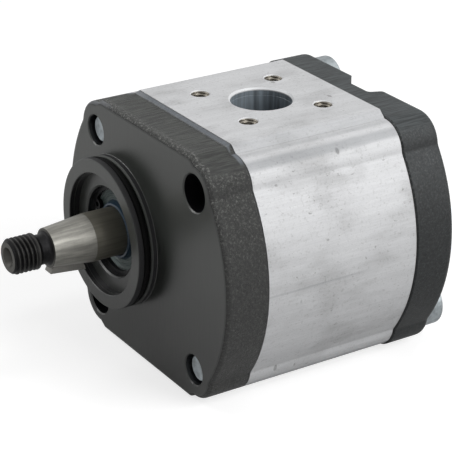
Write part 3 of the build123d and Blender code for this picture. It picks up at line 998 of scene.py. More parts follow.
@dataclass(frozen=True)
class CasingOutline:
    """Front view of one part of the casing."""

    pad_height: float | None = None
    overhang: float = 0.0
    middle: float = MIDDLE
    square: float = 60.0
    lobe: float = 9.5
    waist: float = 3.0
    side: float = 54.2
    side_offset: float = 5.0
    pad_half_width: float = 27.2
    shoulder: float = 2.6

    def quarter(self, height: float | None) -> list[Pair]:
        """One quarter of the outline, from the middle of the right side up.

        Args:
            height: Height of the pad that it ends at, or None where it ends at the lobe's top.

        Returns:
            Its points, measured from the outline's middle.
        """
        lobe_at = (self.square / 2, self.square / 2)
        side_at = (-self.side_offset, 0.0)
        lobe = self.lobe + self.overhang
        side = self.side + self.overhang
        waist = self.waist - self.overhang
        apart = math.hypot(lobe_at[0] - side_at[0], lobe_at[1] - side_at[1])
        base = math.atan2(lobe_at[1] - side_at[1], lobe_at[0] - side_at[0])
        spread = math.acos((apart**2 + (side + waist)**2 - (lobe + waist)**2) / (2 * apart * (side + waist)))
        side_angle = math.degrees(base - spread)
        waist_at = (
            side_at[0] + (side + waist) * math.cos(base - spread),
            side_at[1] + (side + waist) * math.sin(base - spread),
        )
        lobe_angle = math.degrees(math.atan2(waist_at[1] - lobe_at[1], waist_at[0] - lobe_at[0]))
        points = arc(side_at, side, 0.0, side_angle, 14)
        points += arc(waist_at, waist, side_angle + 180, lobe_angle + 180, 4)[1:]
        points += arc(lobe_at, lobe, lobe_angle, 90.0, 14)[1:]
        if height is not None:
            points.append((self.pad_half_width + self.shoulder, lobe_at[1] + self.lobe))
            points.append((self.pad_half_width, height))
        return points

    def around(self, height: float | None) -> list[Pair]:
        """The whole outline, anticlockwise from the middle of the right side.

        Args:
            height: Height of the pads, or None where it has none.

        Returns:
            Its points, across and up.
        """
        first = self.quarter(height)
        upper = first + [(-x, z) for x, z in reversed(first)]
        lower = [(-x, -z) for x, z in upper]
        return [(self.middle + x, z) for x, z in upper + lower[1:-1]]

    def ring(self, inset: float, along: float, height: float | None = None) -> Ring:
        """The outline moved inwards, as a ring at one place along the shaft.

        Args:
            inset: Distance inwards.
            along: Place along the shaft.
            height: Height of the pads, where it isn't the outline's own.

        Returns:
            The points of the ring.
        """
        loop = self.around(self.pad_height if height is None else height)
        points = []
        for index, (x, z) in enumerate(loop):
            before = loop[index - 1]
            after = loop[(index + 1) % len(loop)]
            first = Vector((z - before[1], before[0] - x)).normalized()
            second = Vector((after[1] - z, x - after[0])).normalized()
            miter = (first + second) / (1.0 + first.dot(second))
            points.append((x - inset * miter.x, along, z - inset * miter.y))
        return points

    def corner(self, right: int, up: int) -> Pair:
        """Place of one of the four holes of the bolt square."""
        return self.middle + right * self.square / 2, up * self.square / 2


FLANGE = CasingOutline(pad_height=41.0)
BODY = CasingOutline(pad_height=PAD_HEIGHT)
COVER = CasingOutline(overhang=0.6)


def bored(corner: tuple[int, int], radius: float, chamfer: float, front: float, rear: float) -> Shell:
    """Tool for a hole of the bolt square.

    Args:
        corner: Which hole, as signs across and up.
        radius: Radius of the hole.
        chamfer: Width of its chamfer at the front, or 0.
        front: Place of the front face.
        rear: Place of the rear face.

    Returns:
        The tool, a little longer than the hole.
    """
    section = [(radius + chamfer, front - 1.0), (radius + chamfer, front)]
    if chamfer > 0:
        section.append((radius, front + chamfer))
    section.append((radius, rear + 1.0))
    return turned(section, BODY.corner(*corner))


def dowel_holes(start: float, end: float) -> Shell:
    """Tool for the two dowel holes of a joint face.

    Args:
        start: Place of the holes' front end.
        end: Place of their rear end.

    Returns:
        Both holes as one tool.
    """
    holes = Shell()
    for side in (-1, 1):
        place = (BODY.middle + side * DOWEL_OFFSET, 0.0)
        holes = holes + turned([(DOWEL_HOLE, start), (DOWEL_HOLE, end)], place, steps=40)
    return holes


def dressed(piece: bpy.types.Object, finish: bpy.types.Material, body: str,
            nodes: Sequence[str] = (), angle: float = 32.0) -> bpy.types.Object:
    """Finishes a piece: metres, shading, material and body.

    Args:
        piece: The piece, in millimetres.
        finish: Its material.
        body: The moving body that it belongs to.
        nodes: CAD nodes that it stands for.
        angle: Edges sharper than this stay sharp, in degrees.

    Returns:
        The same piece.
    """
    piece.data.transform(Matrix.Scale(MM, 4))
    smoothed(piece, angle)
    piece.data.materials.clear()
    piece.data.materials.append(finish)
    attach(piece, body)
    if nodes:
        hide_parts(*nodes)
    log.info("%s: %d faces, on %s", piece.name, len(piece.data.polygons), body)
    return piece


@dataclass
class FrontFlange:
    """Mounting flange with the spigot, the seal seat and four bolt holes."""

    edge_round: float = 1.6
    edge_steps: int = 6
    spigot_radius: float = 25.0
    spigot_face: float = -6.9
    groove_radius: float = 22.3
    groove: Pair = (-4.8, -2.0)
    steps: int = 144

    def plate(self) -> Shell:
        """The flange plate with its rounded front edge and the short rise at the joint.

        Returns:
            The closed surface.
        """
        rings = []
        for index in range(self.edge_steps + 1):
            angle = math.radians(90 * index / self.edge_steps)
            inset = self.edge_round * (1 - math.sin(angle))
            rings.append(FLANGE.ring(inset, self.edge_round * (1 - math.cos(angle))))
        rings.append(FLANGE.ring(0.0, 12.6))
        for inset, along, height in ((0.0, 13.3, 41.12), (0.0, 14.75, 41.7), (0.25, BODY_FRONT, 41.7)):
            rings.append(FLANGE.ring(inset, along, height))
        return skinned(rings)

    def spigot(self) -> Shell:
        """The round boss that centres the pump, with its seal groove.

        Returns:
            The closed surface.
        """
        outer = self.spigot_radius
        face = self.spigot_face
        floor = self.groove_radius
        start, end = self.groove
        section = [(outer - 0.5, face), (outer - 0.15, face + 0.12), (outer, face + 0.5)]
        section += [(outer, start - 0.15), (outer - 0.15, start), (floor, start), (floor, end)]
        section += [(outer - 0.5, end), (outer, end + 0.5)]
        section += [(outer, -0.2), (outer + 0.2, 0.0), (outer + 0.2, 8.0)]
        return turned(section, steps=self.steps)

    def hollows(self) -> Shell:
        """Tool for everything that is cut out of the flange.

        Returns:
            All its hollows as one tool.
        """
        past = BODY_FRONT + 1.0
        face = self.spigot_face
        section = [(20.5, face - 1.1), (20.5, face), (20.3, -6.7), (20.3, -5.3), (20.0, -5.3), (20.0, -3.4)]
        section += [(15.5, -3.4), (15.0, -2.9), (15.0, -1.2), (15.6, -1.2), (15.6, 0.0), (15.0, 0.0)]
        section += [(15.0, 7.6), (SHAFT_HOLE, 7.6), (SHAFT_HOLE, past)]
        tool = turned(section, steps=self.steps)
        tool = tool + turned([(SHAFT_HOLE, 12.5), (SHAFT_HOLE, past)], (GEAR_CENTRES, 0.0))
        for corner in SCREW_CORNERS:
            tool = tool + bored(corner, TAPPED_HOLE, 0.35, 0.0, BODY_FRONT)
        for corner in BOLT_CORNERS:
            tool = tool + bored(corner, BOLT_HOLE, 0.4, 0.0, BODY_FRONT)
        return tool + dowel_holes(10.0, past)

    def build(self) -> None:
        """Makes the flange."""
        piece = in_scene("front_flange_casting", self.plate().mesh("front_flange_casting"))
        worked(piece, self.spigot(), Cut.ADD)
        worked(piece, self.hollows())
        finish = MachinedCasting("flange_cast_iron").material()
        dressed(piece, finish, "casing", ["front_flange"])


@dataclass(frozen=True)
class Port:
    """One port with its four threaded holes. up is 1 for the top face and -1 for the bottom."""

    name: str
    up: int
    radius: float
    square: float
    middle: Pair = PORT_MIDDLE
    face: float = PAD_HEIGHT
    thread: float = 3.0
    thread_depth: float = 14.0
    pitch: float = 1.0
    rows_per_turn: int = 6
    steps: int = 40

    def screw_places(self) -> list[Pair]:
        """Centres of the four threaded holes."""
        half = self.square / 2
        return [(self.middle[0] + i * half, self.middle[1] + j * half) for i in (-1, 1) for j in (-1, 1)]

    def tool(self) -> Shell:
        """Tool for the bore and the four holes.

        Returns:
            All five as one tool.
        """
        above = self.face + 1.2
        radius = self.radius
        bore = [(radius + 0.6, above), (radius + 0.6, self.face), (radius, self.face - 0.6)]
        bore += [(radius, 39.6), (radius + 0.12, 39.5), (radius + 0.12, 39.35), (radius, 39.25)]
        bore += [(radius, 20.0), (radius - 1.5, 20.0), (radius - 1.5, 8.0)]
        section = [(r, self.up * z) for r, z in bore]
        tool = turned(section, self.middle, Axis.PORT)
        bottom = self.face - self.thread_depth
        wide = self.thread + 0.25
        hole = [(wide, above), (wide, self.face), (self.thread, self.face - 0.25)]
        hole += [(self.thread, bottom), (0.4, bottom - 1.4)]
        for place in self.screw_places():
            tool = tool + turned([(r, self.up * z) for r, z in hole], place, Axis.PORT, steps=48)
        return tool

    def threads(self) -> Shell:
        """Screw threads inside the four holes, each a sleeve with a helical inner side.

        Returns:
            The four sleeves.
        """
        top = self.face - 0.35
        length = self.thread_depth - 1.5
        rows = int(length / self.pitch) * self.rows_per_turn
        depth = 0.54 * self.pitch
        outer = self.thread + 0.04
        sleeves = Shell()
        for place in self.screw_places():
            rings = [ring(outer, self.up * (top - length), Axis.PORT, place, self.steps)]
            rings.append(ring(outer, self.up * top, Axis.PORT, place, self.steps))
            for row in range(rows + 1):
                below = length * row / rows
                fade = min(1.0, below / (0.6 * self.pitch))

                def reach(angle: float, below: float = below, fade: float = fade) -> float:
                    """Radius of the thread's inner side at an angle."""
                    phase = below / self.pitch + self.up * angle / TURN
                    return self.thread - depth * fade * thread_height(phase)

                rings.append(ring(reach, self.up * (top - below), Axis.PORT, place, self.steps))
            sleeves = sleeves + skinned(rings, round_trip=True)
        return sleeves


@dataclass
class PumpBody:
    """Extruded body with the gear chamber, the seal grooves and both ports."""

    chamber: float = 19.008
    groove_width: float = 2.5
    groove_depth: float = 1.9
    ports: tuple[Port, ...] = (
        Port("inlet", 1, 10.0, 28.28),
        Port("outlet", -1, 7.5, 24.75),
    )

    def chamber_outline(self) -> list[Pair]:
        """Two equal circles on the gear centres.

        Returns:
            The points of their common outline.
        """
        half = math.degrees(math.acos(GEAR_CENTRES / 2 / self.chamber))
        left = arc((0.0, 0.0), self.chamber, half, 360 - half, 90)
        right = arc((GEAR_CENTRES, 0.0), self.chamber, 180 + half, 540 - half, 90)
        return left[:-1] + right[:-1]

    def build(self) -> None:
        """Makes the body and the threads in its ports."""
        edges = ((0.04, BODY_FRONT), (0.0, BODY_FRONT + 0.04), (0.0, BODY_REAR - 0.12), (0.12, BODY_REAR))
        blank = skinned([BODY.ring(inset, along) for inset, along in edges])
        piece = in_scene("pump_body_extrusion", blank.mesh("pump_body_extrusion"))
        tool = prism(self.chamber_outline(), BODY_FRONT - 1, BODY_REAR + 1)
        for corner in SCREW_CORNERS:
            tool = tool + bored(corner, SCREW_HOLE, 0.0, BODY_FRONT, BODY_REAR)
        for corner in BOLT_CORNERS:
            tool = tool + bored(corner, BOLT_HOLE, 0.0, BODY_FRONT, BODY_REAR)
        tool = tool + dowel_holes(BODY_FRONT - 1, BODY_FRONT + 5)
        tool = tool + dowel_holes(BODY_REAR - 5, BODY_REAR + 1)
        half = self.groove_width / 2
        depth = self.groove_depth
        for start, end in ((BODY_FRONT - 1, BODY_FRONT + depth), (BODY_REAR - depth, BODY_REAR + 1)):
            section = [(-half, start), (half, start), (half, end), (-half, end)]
            tool = tool + swept(SealSet().racetrack(), section, closed=True)
        worked(piece, tool)
        for port in self.ports:
            worked(piece, port.tool())
        finish = PortedAluminium("body_satin_aluminium").material()
        dressed(piece, finish, "casing", ["pump_body"])
        cut = TurnedSteel("port_thread_metal", metal=(0.19, 0.175, 0.15), roughness=0.34).material()
        for port in self.ports:
            name = port.name + "_port_threads"
            dressed(in_scene(name, port.threads().mesh(name)), cut, "casing")


@dataclass
class RearCover:
    """Cast rear cover with a recess down its back."""

    edge_round: float = 2.6
    edge_steps: int = 7
    floor: float = 79.6

    def blank(self) -> Shell:
        """The cover before its holes and recess.

        Returns:
            The closed surface.
        """
        rings = [COVER.ring(0.4, BODY_REAR), COVER.ring(0.0, BODY_REAR + 0.4)]
        for index in range(self.edge_steps + 1):
            angle = math.radians(90 * index / self.edge_steps)
            inset = self.edge_round * (1 - math.cos(angle))
            along = COVER_REAR - self.edge_round * (1 - math.sin(angle))
            rings.append(COVER.ring(inset, along))
        return skinned(rings)

    def recess(self) -> Shell:
        """Tool for the recess: round crest on the left, steeper side on the right.

        Returns:
            The closed surface.
        """
        past = COVER_REAR + 2.0
        left = MIDDLE - 8.0
        right = MIDDLE + 12.0
        corners = [
            (left - 10.0, past, 0.0), (left - 10.0, COVER_REAR, 0.0), (left, COVER_REAR, 8.0),
            (MIDDLE - 1.0, self.floor, 1.8), (MIDDLE + 9.3, self.floor, 1.8),
            (right, COVER_REAR, 0.0), (right, past, 0.0),
        ]
        return prism(rounded_corners(corners), -60.0, 60.0, Axis.PORT)

    def build(self) -> None:
        """Makes the cover."""
        piece = in_scene("rear_cover_casting", self.blank().mesh("rear_cover_casting"))
        worked(piece, self.recess())
        before = BODY_REAR - 1.0
        tool = dowel_holes(before, BODY_REAR + 5.0)
        for corner in SCREW_CORNERS:
            tool = tool + bored(corner, SCREW_HOLE, 0.0, BODY_REAR, COVER_REAR)
        for corner in BOLT_CORNERS:
            tool = tool + bored(corner, BOLT_HOLE, 0.0, BODY_REAR, COVER_REAR)
        for x in (0.0, GEAR_CENTRES):
            tool = tool + turned([(SHAFT_HOLE, before), (SHAFT_HOLE, BODY_REAR + 2.5)], (x, 0.0))
        worked(piece, tool)
        finish = CastIron("cover_cast_iron", skin=(0.012, 0.0135, 0.014), specks=(0.075, 0.075, 0.075),
                          speck_share=0.30, grit=0.45).material()
        dressed(piece, finish, "casing", ["rear_cover"])


def rounded_corners(corners: Sequence[tuple[float, float, float]]) -> list[Pair]:
    """A closed outline with round corners.

    Args:
        corners: The corners as (x, y, radius); a radius of 0 leaves one sharp.

    Returns:
        Points of the outline.
    """
    points: list[Pair] = []
    for index, (x, y, radius) in enumerate(corners):
        if radius <= 0:
            points.append((x, y))
            continue
        here = Vector((x, y))
        back = (Vector(corners[index - 1][:2]) - here).normalized()
        ahead = (Vector(corners[(index + 1) % len(corners)][:2]) - here).normalized()
        half = back.angle(ahead) / 2
        middle = here + (back + ahead).normalized() * radius / math.sin(half)
        start = here + back * radius / math.tan(half) - middle
        end = here + ahead * radius / math.tan(half) - middle
        for step in range(9):
            ray = start.lerp(end, step / 8).normalized() * radius
            points.append((middle.x + ray.x, middle.y + ray.y))
    return points


@dataclass
class ClampScrews:
    """Two socket screws that hold the casing together. Their ends show in the front flange."""

    head_radius: float = 8.1
    head_height: float = 7.0
    shank: float = 4.98
    socket: float = 8.0
    socket_depth: float = 4.0
    thread_root: float = 4.12
    thread_depth: float = 0.86
    thread_span: Pair = (2.2, 14.2)
    pitch: float = 1.5
    rows_per_turn: int = 6
    steps: int = 72

    def screw(self, place: Pair) -> Shell:
        """One screw with a rolled thread on its front part.

        Args:
            place: Where its axis is.

        Returns:
            The closed surface.
        """
        tip = [(2.2, 2.35), (4.0, 2.0)]
        rings = [ring(radius, along, centre=place, steps=self.steps) for radius, along in tip]
        start, end = self.thread_span
        rows = int((end - start) / self.pitch) * self.rows_per_turn
        for row in range(rows + 1):
            along = start + (end - start) * row / rows
            limit = 4.05 + (along - start) * 0.6

            def reach(angle: float, along: float = along, limit: float = limit) -> float:
                """Radius of the thread at an angle."""
                phase = along / self.pitch + angle / TURN
                return min(limit, self.thread_root + self.thread_depth * thread_height(phase))

            rings.append(ring(reach, along, centre=place, steps=self.steps))
        top = COVER_REAR + self.head_height
        for radius, along in (
            (self.shank, end + 0.4), (self.shank, COVER_REAR), (self.head_radius - 0.3, COVER_REAR),
            (self.head_radius, COVER_REAR + 0.3), (self.head_radius, top - 0.8),
            (self.head_radius - 0.12, top - 0.4), (self.head_radius - 0.8, top),
        ):
            rings.append(ring(radius, along, centre=place, steps=self.steps))
        return skinned(rings)

    def build(self) -> None:
        """Makes both screws as one piece."""
        both = Shell()
        sockets = Shell()
        across = self.socket / 2 / math.cos(math.radians(30))
        top = COVER_REAR + self.head_height
        floor = top - self.socket_depth
        hexagon = [(0.3, floor - 1.6), (across, floor), (across, top - 0.35), (across + 0.6, top + 0.25)]
        for corner in SCREW_CORNERS:
            place = BODY.corner(*corner)
            both = both + self.screw(place)
            sockets = sockets + turned(hexagon, place, steps=6)
        piece = in_scene("clamp_screws_zinc", both.mesh("clamp_screws_zinc"))
        worked(piece, sockets)
        dressed(piece, PlatedSteel("screw_zinc").material(), "casing", ["clamp_screws"])


@dataclass
class DriveShaft:
    """Gear shaft with a keyed taper and a threaded end."""

    end: float = -39.8
    thread_root: float = 5.1
    thread_crest: float = 5.92
    thread_end: float = -31.2
    pitch: float = 1.5
    rows_per_turn: int = 10
    taper_start: float = -26.4
    taper_radius: float = 6.5
    taper_slope: float = 0.1
    key_place: float = -19.5
    key_radius: float = 6.5
    key_width: float = 4.0
    key_height: float = 5.0
    key_rise: float = 2.0
    clearance: float = 0.01
    join: float = 13.2
    steps: int = 128

    def nose(self) -> Shell:
        """Everything in front of the gear's front journal, from the centre hole to the seal journal.

        Returns:
            The closed surface.
        """
        end = self.end
        face = [(0.3, end + 6.0), (1.5, end + 5.4), (1.5, end + 3.4), (3.1, end + 0.25)]
        face += [(3.3, end), (4.9, end)]
        rings = [ring(radius, along, steps=self.steps) for radius, along in face]
        start, last = end + 0.25, self.thread_end
        rows = int((last - start) / self.pitch * self.rows_per_turn)
        for row in range(rows + 1):
            along = start + (last - start) * row / rows
            limit = 5.2 + (along - start) * 0.8
            depth = (self.thread_crest - self.thread_root) * min(1.0, (last - along) / self.pitch)

            def reach(angle: float, along: float = along, limit: float = limit,
                      depth: float = depth) -> float:
                """Radius of the thread at an angle."""
                phase = along / self.pitch + angle / TURN
                return min(limit, self.thread_crest - depth * (1.0 - thread_height(phase)))

            rings.append(ring(reach, along, steps=self.steps))
        rest = [(6.0, -31.0), (5.9, -30.75), (4.95, -29.85), (4.9, -29.6), (4.9, -27.3), (5.05, -27.0)]
        rest += [(5.7, -26.45), (5.9, self.taper_start), (6.3, self.taper_start), (6.5, -26.25)]
        rest += [(7.94, -12.06), (7.94, -12.0), (7.86, -11.9), (8.0, -11.7), (8.0, self.join - 0.01)]
        rings += [ring(radius, along, steps=self.steps) for radius, along in rest]
        return skinned(rings)

    def key_seat(self) -> Shell:
        """Tool for the half-moon seat of the key, square to the taper.

        Returns:
            The closed surface.
        """
        surface = self.taper_radius + self.taper_slope * (self.key_place - self.taper_start)
        depth = surface + self.key_rise - self.key_height + self.key_radius
        lean = math.atan(self.taper_slope)
        half = self.key_width / 2 + self.clearance
        outline = []
        for y, z in arc((self.key_place, -depth), self.key_radius + self.clearance, 0.0, 354.0, 59):
            along, upward = y - self.key_place, z + surface
            outline.append((
                self.key_place + along * math.cos(lean) + upward * math.sin(lean),
                -surface - along * math.sin(lean) + upward * math.cos(lean),
            ))
        return skinned([[(x, y, z) for y, z in outline] for x in (-half, half)])

    def gear(self) -> bpy.types.Mesh:
        """The gear and its journals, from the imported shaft's own mesh behind the seal journal.

        Returns:
            The mesh in millimetres, closed at its front.
        """
        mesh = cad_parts["drive_gear_shaft"].data.copy()
        mesh.transform(Matrix.Scale(1 / MM, 4))
        work = bmesh.new()
        work.from_mesh(mesh)
        bmesh.ops.remove_doubles(work, verts=work.verts, dist=0.0005)
        everything = list(work.verts) + list(work.edges) + list(work.faces)
        result = bmesh.ops.bisect_plane(work, geom=everything, plane_co=(0, self.join, 0),
                                        plane_no=(0, 1, 0), clear_inner=True)
        rim = [item for item in result["geom_cut"] if isinstance(item, bmesh.types.BMEdge)]
        bmesh.ops.edgeloop_fill(work, edges=rim)
        work.to_mesh(mesh)
        work.free()
        return mesh

    def build(self) -> None:
        """Makes the shaft as one piece."""
        piece = in_scene("drive_shaft_steel", self.nose().mesh("drive_shaft_steel"))
        worked(piece, self.key_seat())
        gear = self.gear()
        whole = bmesh.new()
        whole.from_mesh(piece.data)
        whole.from_mesh(gear)
        whole.to_mesh(piece.data)
        whole.free()
        bpy.data.meshes.remove(gear)
        finish = ShaftSteel("drive_shaft_ground_steel").material()
        dressed(piece, finish, "drive", ["drive_gear_shaft"])


@dataclass
class ShaftSeal:
    """Lip seal in the flange with its coil spring, and the seal ring of the spigot."""

    bore: float = 8.06
    coils: int = 130
    steps_per_coil: int = 8
    wire_steps: int = 6
    wire_radius: float = 0.16
    coil_radius: float = 0.54
    spring_radius: float = 11.06
    spring_place: float = 5.5
    ring_middle: Pair = (23.6, -3.4)
    ring_radius: float = 1.3

    def lip(self) -> Shell:
        """Rubber with ribs round its face and a main lip behind.

        Returns:
            The closed surface.
        """
        bore = self.bore
        section = [(13.5, 0.0), (13.35, -0.12), (13.0, -0.12), (12.8, 0.1), (12.1, 0.35), (11.9, 0.2)]
        section += [(11.5, 0.2), (11.3, 0.4), (10.6, 0.5), (10.4, 0.3), (10.0, 0.3), (9.8, 0.5)]
        section += [(9.6, 0.35), (9.4, -0.9), (9.05, -1.4), (8.5, -1.5), (bore + 0.1, -1.25)]
        section += [(bore, -0.8), (bore + 1.0, 2.0), (bore, 5.0), (bore + 0.5, 5.6), (bore + 2.2, 6.0)]
        section += [(10.5, 2.0), (10.5, 1.0), (13.5, 1.0)]
        return turned(section, round_trip=True)

    def spring(self) -> Shell:
        """The closed coil spring round the main lip.

        Returns:
            The closed surface.
        """
        wire = self.wire_radius
        count = self.coils * self.steps_per_coil
        rings = []
        for index in range(count):
            around = TURN * index / count
            coil = TURN * index / self.steps_per_coil
            out = Vector((math.cos(around), 0.0, math.sin(around)))
            spoke = out * math.cos(coil) + Vector((0.0, math.sin(coil), 0.0))
            centre = out * self.spring_radius + Vector((0.0, self.spring_place, 0.0))
            centre = centre + spoke * self.coil_radius
            forward = Vector((-math.sin(around), 0.0, math.cos(around)))
            rings.append([
                tuple(centre + spoke * wire * math.cos(angle) + forward * wire * math.sin(angle))
                for angle in (TURN * step / self.wire_steps for step in range(self.wire_steps))
            ])
        return skinned(rings, round_trip=True)

    def spigot_ring(self) -> Shell:
        """The round rubber ring in the spigot's groove."""
        return turned(arc(self.ring_middle, self.ring_radius, 0.0, 345.0, 23), round_trip=True, steps=144)

    def build(self) -> None:
        """Makes the soft pieces at the shaft end."""
        blue = SealRubber("seal_blue_rubber", colour=(0.014, 0.036, 0.060), roughness=0.35)
        black = Rubber("ring_black_rubber", colour=(0.003, 0.003, 0.003), bloom=(0.01, 0.01, 0.01),
                       roughness=0.6, gloss=0.1)
        dressed(in_scene("shaft_seal_rubber", self.lip().mesh("shaft_seal_rubber")),
                blue.material(), "casing", ["shaft_seal_lip"])
        dressed(in_scene("seal_coil_spring", self.spring().mesh("seal_coil_spring")),
                TurnedSteel("coil_spring_wire").material(), "casing",
                ["seal_garter_spring"], angle=60.0)
        dressed(in_scene("spigot_seal_ring", self.spigot_ring().mesh("spigot_seal_ring")),
                black.material(), "casing", ["spigot_o_ring"])


@dataclass
class SealSet:
    """Rubber seals between the castings and behind the bearing blocks."""

    track: float = 22.31
    block_middle: float = 16.4
    open_height: float = 5.0
    width: float = 2.3
    body_depth: float = 1.85
    pressure_depth: float = 2.35
    corner: float = 0.5

    def racetrack(self) -> list[Pair]:
        """Closed path round both gear centres.

        Returns:
            Its points, across and up.
        """
        right = arc((GEAR_CENTRES, 0.0), self.track, -90.0, 90.0, 30)
        left = arc((0.0, 0.0), self.track, 90.0, 270.0, 30)
        return right + left

    def three(self) -> list[Pair]:
        """Open path round the backs of the bearing blocks, below the inlet side.

        Returns:
            Its points, across and up.
        """
        lift = math.degrees(math.asin(self.open_height / self.block_middle))
        meet = math.degrees(math.acos(GEAR_CENTRES / 2 / self.block_middle))
        left = arc((0.0, 0.0), self.block_middle, 180 - lift, 360 - meet, 40)
        right = arc((GEAR_CENTRES, 0.0), self.block_middle, 180 + meet, 360 + lift, 40)
        return left + right[1:]

    def build(self) -> None:
        """Makes the four seals."""
        finish = Rubber("casing_seal_rubber").material()
        for name, path, start, end, closed in (
            ("front_body", self.racetrack(), BODY_FRONT, BODY_FRONT + self.body_depth, True),
            ("rear_body", self.racetrack(), BODY_REAR - self.body_depth, BODY_REAR, True),
            ("front_pressure", self.three(), BODY_FRONT, BODY_FRONT + self.pressure_depth, False),
            ("rear_pressure", self.three(), BODY_REAR - self.pressure_depth, BODY_REAR, False),
        ):
            shell = swept(path, rounded_section(self.width, start, end, self.corner), closed)
            piece = in_scene(name + "_seal_rubber", shell.mesh(name + "_seal_rubber"))
            dressed(piece, finish, "casing", [name + "_seal"], angle=40.0)


@dataclass
class CarriedNodes:
    """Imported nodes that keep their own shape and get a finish."""

    def build(self) -> None:
        """Gives each its material."""
        ground = TurnedSteel("ground_steel_plain").material()
        finishes = {
            "woodruff_key": TurnedSteel("key_steel", metal=(0.22, 0.215, 0.20), roughness=0.4).material(),
            "driven_gear_shaft": ground,
            "dowel_pins": ground,
            "seal_retaining_ring": TurnedSteel("ring_spring_steel", metal=(0.012, 0.012, 0.013)).material(),
            "shaft_seal_case": TurnedSteel("seal_case_sheet", metal=(0.30, 0.30, 0.31)).material(),
        }
        block = ExtrudedAluminium("block_turned_aluminium", metal=(0.62, 0.62, 0.63)).material()
        bronze = TurnedSteel("bush_bronze", metal=(0.55, 0.36, 0.17), roughness=0.32).material()
        for end in ("front", "rear"):
            finishes[end + "_bearing_block"] = block
            for gear in ("drive", "driven"):
                finishes[f"{gear}_{end}_bush"] = bronze
        for name, finish in finishes.items():
            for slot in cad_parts[name].material_slots:
                slot.material = finish
            log.info("%s: packed mesh, %s", name, finish.name)


@dataclass(frozen=True)
class Lamp:
    """A square soft lamp that faces the middle of the pump. Its places are in metres."""

    name: str
    place: Point
    size: float
    power: float
    aim: Point = (0.016, 0.03, 0.0)

    def build(self) -> None:
        """Adds the lamp to the scene."""
        light = bpy.data.lights.new(self.name, "AREA")
        light.size = self.size
        light.energy = self.power
        lamp = bpy.data.objects.new(self.name, light)
        bpy.context.scene.collection.objects.link(lamp)
        lamp.location = Vector(self.place)
        heading = Vector(self.aim) - lamp.location
        lamp.rotation_euler = heading.to_track_quat("-Z", "Y").to_euler()


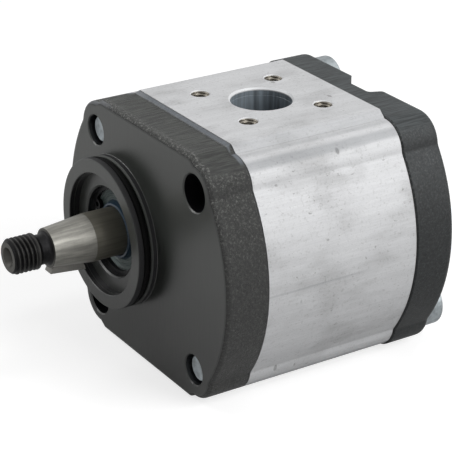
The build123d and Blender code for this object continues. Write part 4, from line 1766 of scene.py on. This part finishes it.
@dataclass
class Studio:
    """Floor, soft lights and the camera."""

    lamps: tuple[Lamp, ...] = (
        Lamp("key", (-0.45, -0.40, 0.55), 0.40, 1.8),
        Lamp("side", (0.80, 0.42, 0.56), 0.7, 9.2),
        Lamp("crown", (0.10, 0.42, 1.00), 0.25, 1.6),
    )
    floor_height: float = -PAD_HEIGHT
    floor_size: float = 6000.0
    floor_bounce: float = 0.18
    floor_direct: Pair = (0.45, 0.72)
    floor_mirrored: Pair = (0.85, 0.15)
    world_light: float = 0.20
    world_seen: float = 1.0
    camera_place: Point = (485.53, -272.58, 256.18)
    azimuth: float = 57.10
    elevation: float = 24.61
    roll: float = 0.5
    lens: float = 150.5
    sensor: float = 36.0

    def floor(self) -> None:
        """A pale floor that stays near white and keeps the shadow."""
        mesh = bpy.data.meshes.new("floor")
        size = self.floor_size
        corners = [(-size, -size), (size, -size), (size, size), (-size, size)]
        mesh.from_pydata([(x, y, self.floor_height) for x, y in corners], [], [(0, 1, 2, 3)])
        mesh.transform(Matrix.Scale(MM, 4))
        paint = Paint("pale_floor")
        bounce = self.floor_bounce
        dim = paint.add("ShaderNodeBsdfDiffuse", {}, {"Color": (bounce, bounce, bounce)})
        direct = self.lit(paint, *self.floor_direct)
        mirrored = self.lit(paint, *self.floor_mirrored)
        glossy = paint.add("ShaderNodeLightPath", out="Is Glossy Ray")
        pale = paint.add("ShaderNodeMixShader", {}, {0: glossy, 1: direct, 2: mirrored})
        paint.closed(paint.add("ShaderNodeMixShader", {}, {0: self.seen(paint), 1: dim, 2: pale}))
        mesh.materials.append(paint.material)
        in_scene("floor", mesh)

    def lit(self, bench: Bench, matt: float, glow: float) -> Signal:
        """A matt grey that takes shadows, with a glow of its own.

        Args:
            bench: Node tree to add it to.
            matt: Brightness of the matt part.
            glow: Strength of the glow.

        Returns:
            The surface.
        """
        diffuse = bench.add("ShaderNodeBsdfDiffuse", {}, {"Color": (matt, matt, matt)})
        emission = bench.add("ShaderNodeEmission", {}, {"Color": (1.0, 1.0, 1.0), "Strength": glow})
        return bench.add("ShaderNodeAddShader", {}, {0: diffuse, 1: emission})

    def seen(self, bench: Bench) -> Signal:
        """1 for rays from the camera, reflections and clear materials.

        Args:
            bench: Node tree to add it to.

        Returns:
            1 for those rays and 0 for the others.
        """
        camera = bench.add("ShaderNodeLightPath", out="Is Camera Ray")
        glossy = bench.add("ShaderNodeLightPath", out="Is Glossy Ray")
        return camera.larger(glossy).larger(bench.add("ShaderNodeLightPath", out="Is Transmission Ray"))

    def world(self) -> None:
        """White behind the object, softer light on it."""
        world = bpy.data.worlds.new("studio")
        world.use_nodes = True
        bench = Bench(world.node_tree, "ShaderNodeOutputWorld")
        white = (1.0, 1.0, 1.0)
        soft = bench.add("ShaderNodeBackground", {}, {"Color": white, "Strength": self.world_light})
        seen = bench.add("ShaderNodeBackground", {}, {"Color": white, "Strength": self.world_seen})
        bench.closed(bench.add("ShaderNodeMixShader", {}, {0: self.seen(bench), 1: soft, 2: seen}))
        bpy.context.scene.world = world

    def camera(self) -> None:
        """The camera at the photograph's angle."""
        azimuth = math.radians(self.azimuth)
        elevation = math.radians(self.elevation)
        level = math.cos(elevation)
        back = Vector((math.sin(azimuth) * level, -math.cos(azimuth) * level, math.sin(elevation)))
        right = (-back).cross(Vector((0, 0, 1))).normalized()
        up = right.cross(-back)
        tilt = math.radians(self.roll)
        across = right * math.cos(tilt) + up * math.sin(tilt)
        upward = up * math.cos(tilt) - right * math.sin(tilt)
        data = bpy.data.cameras.new("photo_camera")
        data.lens = self.lens
        data.sensor_width = self.sensor
        data.sensor_fit = "HORIZONTAL"
        data.clip_start = 0.01
        camera = bpy.data.objects.new("photo_camera", data)
        bpy.context.scene.collection.objects.link(camera)
        turn = Matrix((across, upward, back)).transposed()
        camera.matrix_world = Matrix.Translation(Vector(self.camera_place) * MM) @ turn.to_4x4()
        bpy.context.scene.camera = camera

    def build(self) -> None:
        """Sets the studio up."""
        self.floor()
        self.world()
        for lamp in self.lamps:
            lamp.build()
        self.camera()
        bpy.context.scene.view_settings.view_transform = "Standard"


def main() -> None:
    """Builds the pump and its studio."""
    logging.basicConfig(level=logging.INFO, format="%(name)s %(message)s")
    for part in (FrontFlange(), PumpBody(), RearCover(), ClampScrews(), DriveShaft(), ShaftSeal(), SealSet(),
                 CarriedNodes(), Studio()):
        part.build()


if __name__ == "__main__":
    main()
